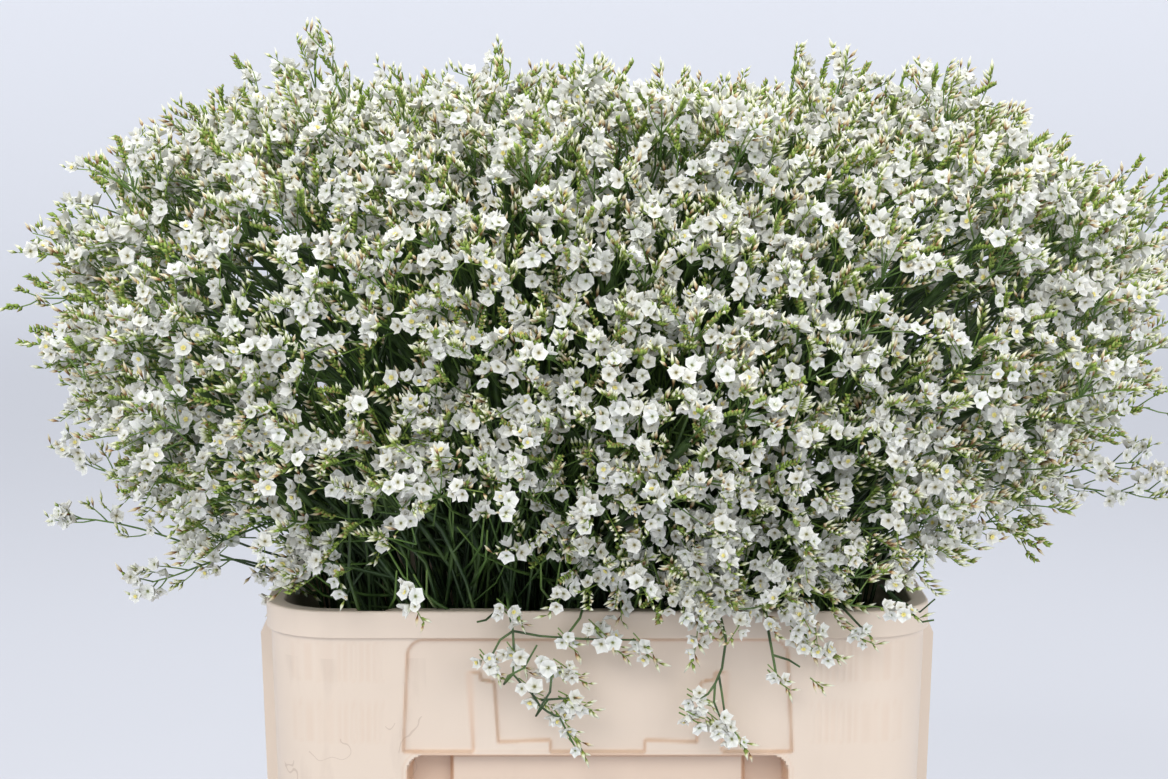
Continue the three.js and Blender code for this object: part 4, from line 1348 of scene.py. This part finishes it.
# Sprays that hang over the front rim, in pixels of the photograph. The last value of a twig's point
# is how far it lies in front of the middle; a group of flowers has its pixel, count and span
HANGING = {
    24: dict(
        twigs=[
            ((498, 600, 120), (507, 594, 146), (509, 612, 152), (513, 631, 154)),
            ((513, 631, 154), (500, 640, 156), (492, 655, 158), (488, 668, 160)),
            ((502, 606, 148), (486, 620, 155), (477, 622, 158)),
            ((513, 631, 154), (514, 655, 157), (513, 674, 160), (520, 682, 160), (531, 692, 160)),
            ((513, 674, 160), (504, 684, 164), (508, 676, 168), (524, 668, 164), (537, 645, 160)),
        ],
        flowers=[((488, 664), 8, 20), ((507, 612), 9, 22), ((515, 657), 8, 20), ((531, 692), 10, 26)],
    ),
    25: dict(
        twigs=[
            ((560, 596, 120), (585, 600, 147), (580, 618, 153), (568, 634, 156)),
            ((513, 631, 154), (540, 636, 158), (582, 639, 160), (636, 640, 158)),
            ((531, 692, 160), (540, 706, 162), (548, 712, 164), (560, 718, 162), (574, 745, 160)),
            ((552, 672, 162), (550, 692, 166), (541, 706, 168), (536, 716, 166), (548, 700, 164)),
            ((541, 700, 162), (556, 699, 160), (572, 698, 160)),
        ],
        flowers=[
            ((566, 641), 7, 18), ((604, 638), 12, 34), ((643, 648), 9, 22), ((546, 667), 8, 20),
            ((567, 672), 11, 28), ((572, 702), 11, 28), ((563, 724), 11, 28), ((575, 745), 4, 14),
        ],
    ),
    26: dict(
        twigs=[
            ((700, 600, 120), (718, 606, 148), (726, 640, 154), (722, 668, 156), (715, 684, 158)),
            ((715, 684, 158), (708, 694, 160), (697, 700, 161)),
            ((715, 684, 158), (714, 702, 160), (720, 717, 160)),
            ((719, 676, 157), (722, 694, 159), (725, 716, 158), (738, 738, 159)),
        ],
        flowers=[((697, 699), 8, 20), ((692, 718), 9, 26), ((715, 722), 9, 22), ((724, 733), 8, 20),
                 ((738, 739), 7, 18)],
    ),
    27: dict(
        twigs=[
            ((770, 600, 120), (764, 606, 148), (770, 640, 155), (774, 662, 157), (777, 680, 158)),
            ((773, 655, 156), (789, 660, 158), (800, 667, 159)),
            ((840, 605, 146), (856, 622, 154), (872, 638, 156)),
            ((880, 585, 130), (902, 602, 140), (920, 612, 146), (935, 599, 148)),
            ((885, 590, 130), (905, 608, 142), (922, 622, 148), (934, 620, 150)),
        ],
        flowers=[((777, 678), 6, 20), ((801, 668), 0, 22), ((800, 640), 8, 22), ((822, 652), 9, 24),
                 ((858, 634), 9, 24)],
    ),
}
WALL_CLEAR = 160
# Gap between the flowers of a group, and the second, sparser line of flowers before the first
GROUP = dict(closest=1.8, gap=1.9, tilt=0.3, reach=0.28, sparser=1.4, before=2, above=3.5)
RISE = np.array([0, 0, 60])
FOOT_BELOW = 8


def spread_cluster(skeleton, random, x, y, count, span):
    """A small group of flowers at a pixel, with its spike lying along the wall"""
    middle = photo_point(x, y, WALL_CLEAR)
    turn = random.uniform(-0.6, 0.6)
    half = np.array([math.cos(turn), 0, -abs(math.sin(turn)) - GROUP["tilt"]]) * span * GROUP["reach"]
    start = middle - half + np.array([0, 4, 0])
    end = middle + half + np.array([0, 4, -2])
    facing = unit(np.array([random.uniform(-0.2, 0.2), -1, 0.15]))
    path = curve_through(start, start + half * 0.5, end - half * 0.5 + np.array([0, 0, -2]), end, 4)
    length = np.linalg.norm(end - start) + 1e-6
    if count:
        pitch = max(GROUP["closest"], length / (count / GROUP["gap"]))
        skeleton.line(path, (0.5, 0.4), (0.7, 1.0), pitch, 1.0, 0.0, facing)
        second = path + np.array([0, -GROUP["before"], GROUP["above"]])
        skeleton.line(second, (0.4, 0.35), (0.7, 1.0), pitch * GROUP["sparser"], 0.85, 0.0, facing)
    reach = 0.5 if count else 1.1
    tail = curve_through(end, end + half * reach * 0.3, end + half * reach * 0.6, end + half * reach, 4)
    skeleton.line(tail, (0.45, 0.3), (0.75, 1.0), BUD_PITCH, 0.0, 0.0, facing)


def hanging_skeleton(random, number):
    """The skeleton of a hanging spray; its first twig comes up from the container's floor"""
    skeleton = Skeleton()
    corners = node_points(f"stem_{number}")
    foot = corners[corners[:, 2] < FOOT_BELOW].mean(axis=0)
    for index, twig in enumerate(HANGING[number]["twigs"]):
        path = np.array([photo_point(*pixel) for pixel in twig])
        if index == 0:
            low = foot + RISE
            upward = curve_through(low, low + 2 * RISE, path[0] - RISE, path[0], 4)
            path = np.vstack([foot, low, upward[1:], path[1:]])
        skeleton.line(path, (1.1, 0.7) if index == 0 else (0.75, 0.55), (0.1, 0.45))
    for (x, y), count, span in HANGING[number]["flowers"]:
        spread_cluster(skeleton, random, x, y, count, span)
    return skeleton


# Stage
FLOOR_COLOUR = (0.575, 0.587, 0.632)
GLOW = dict(start=0.9, end=9.0, strength=0.53)
BOWL = dict(flat=5.0, curve=4.0, top=5.5, sides=96)
WORLD_COLOUR = (0.96, 0.98, 1.0, 1)
WORLD_STRENGTH = 0.52
# Name, place, aim, size and power of the lamps
LAMPS = (
    ("key", (-1.1, -2.6, 2.3), (0, 0, 0.35), (1.8, 1.4), 43),
    ("fill", (1.5, -2.4, 1.5), (0, 0, 0.3), (1.6, 1.6), 18),
    ("left", (-2.6, -1.2, 1.5), (0, 0, 0.4), (1.4, 1.4), 15),
    ("right", (2.6, -1.2, 1.5), (0, 0, 0.4), (1.4, 1.4), 19),
    ("top", (0.1, 0.3, 2.9), (0, 0, 0.4), (1.8, 1.8), 49),
)


def make_stage():
    """A pale floor that sweeps up all round into a pale wall"""
    material, wiring, shader = new_material("backdrop", 1.0)
    shader.inputs["Base Color"].default_value = (*FLOOR_COLOUR, 1)
    shader.inputs["Specular IOR Level"].default_value = 0.0
    shader.inputs["Emission Color"].default_value = (0.90, 0.93, 1.0, 1)
    node = wiring.add("ShaderNodeVectorMath", {0: object_place(wiring)}, operation="LENGTH").node
    glow = wiring.add("ShaderNodeMapRange", {
        "Value": node.outputs["Value"], "From Min": GLOW["start"], "From Max": GLOW["end"],
        "To Max": GLOW["strength"],
    })
    wiring.link(glow, shader, "Emission Strength")
    profile = [(0.0, 0.0), (2.0, 0.0), (BOWL["flat"], 0.0)]
    for turn in np.radians(np.arange(8, 91, 8.2)):
        profile.append((BOWL["flat"] + BOWL["curve"] * math.sin(turn), BOWL["curve"] * (1 - math.cos(turn))))
    profile.append((BOWL["flat"] + BOWL["curve"], BOWL["top"]))
    vertices = []
    for radius, height in profile:
        for k in range(BOWL["sides"]):
            angle = 2 * math.pi * k / BOWL["sides"]
            vertices.append((radius * math.cos(angle), radius * math.sin(angle), height))
    mesh = bpy.data.meshes.new("backdrop")
    mesh.from_pydata(vertices, [], ring_faces(len(profile), BOWL["sides"]))
    mesh.shade_smooth()
    mesh.materials.append(material)
    stage = linked("backdrop", mesh)


def soft_light(name, place, aim, size, power):
    lamp = bpy.data.lights.new(name, "AREA")
    lamp.shape = "RECTANGLE"
    lamp.size, lamp.size_y = size
    lamp.energy = power
    thing = linked(name, lamp)
    thing.location = place
    thing.rotation_euler = (Vector(aim) - Vector(place)).to_track_quat("-Z", "Y").to_euler()


def make_lights():
    world = bpy.data.worlds.new("studio")
    world.use_nodes = True
    background = world.node_tree.nodes["Background"]
    background.inputs["Color"].default_value = WORLD_COLOUR
    background.inputs["Strength"].default_value = WORLD_STRENGTH
    bpy.context.scene.world = world
    for lamp in LAMPS:
        soft_light(*lamp)


def make_camera():
    data = bpy.data.cameras.new("camera")
    data.sensor_width = SENSOR
    data.lens = FOCAL_PIXELS * SENSOR / PHOTO_WIDTH
    data.clip_end = 60
    camera = linked("camera", data)
    camera.location = CAMERA
    camera.rotation_euler = (math.pi / 2 - CAMERA_PITCH, 0, 0)
    bpy.context.scene.camera = camera


# Making
make_camera()
make_stage()
make_lights()
bpy.context.scene.view_settings.view_transform = "Standard"

random = np.random.default_rng(SEED)
skeletons = grow_dome(random)
for number in HANGING:
    skeletons.append(hanging_skeleton(random, number))

shapes = [calyx_shape(), corolla_shape(), bud_shape(), bract_shape()]
flowers_rule = flower_tree(paper_material(), yellow_material(), ivory_material(), bract_material())
twigs_rule = twig_tree(bark_material())
for index, skeleton in enumerate(skeletons):
    number = f"{index + 1:02d}"
    flowers = grown(f"flowers_{number}", skeleton, flowers_rule, {
        "Calyx": shapes[0], "Corolla": shapes[1], "Bud": shapes[2], "Bract": shapes[3],
        "Calyx Size": 1.0, "Bud Size": 1.0, "Yellow Share": YELLOW_SHARE, "Seed": 50 * index,
    })
    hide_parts(f"florets_{number}")
    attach(flowers, "root")
    twigs = grown(f"twigs_{number}", skeleton, twigs_rule, {"Sides": 3 if index < DOME_SPRAYS else 6})
    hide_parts(f"stem_{number}")
    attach(twigs, "root")
for shape in shapes:
    bpy.data.objects.remove(shape)

shell = container_shell()
shell.data.materials.append(plastic_material())
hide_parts("container")
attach(shell, "root")

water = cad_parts["water"]
if not water.material_slots:
    water.data.materials.append(None)
for slot in water.material_slots:
    slot.material = water_material()
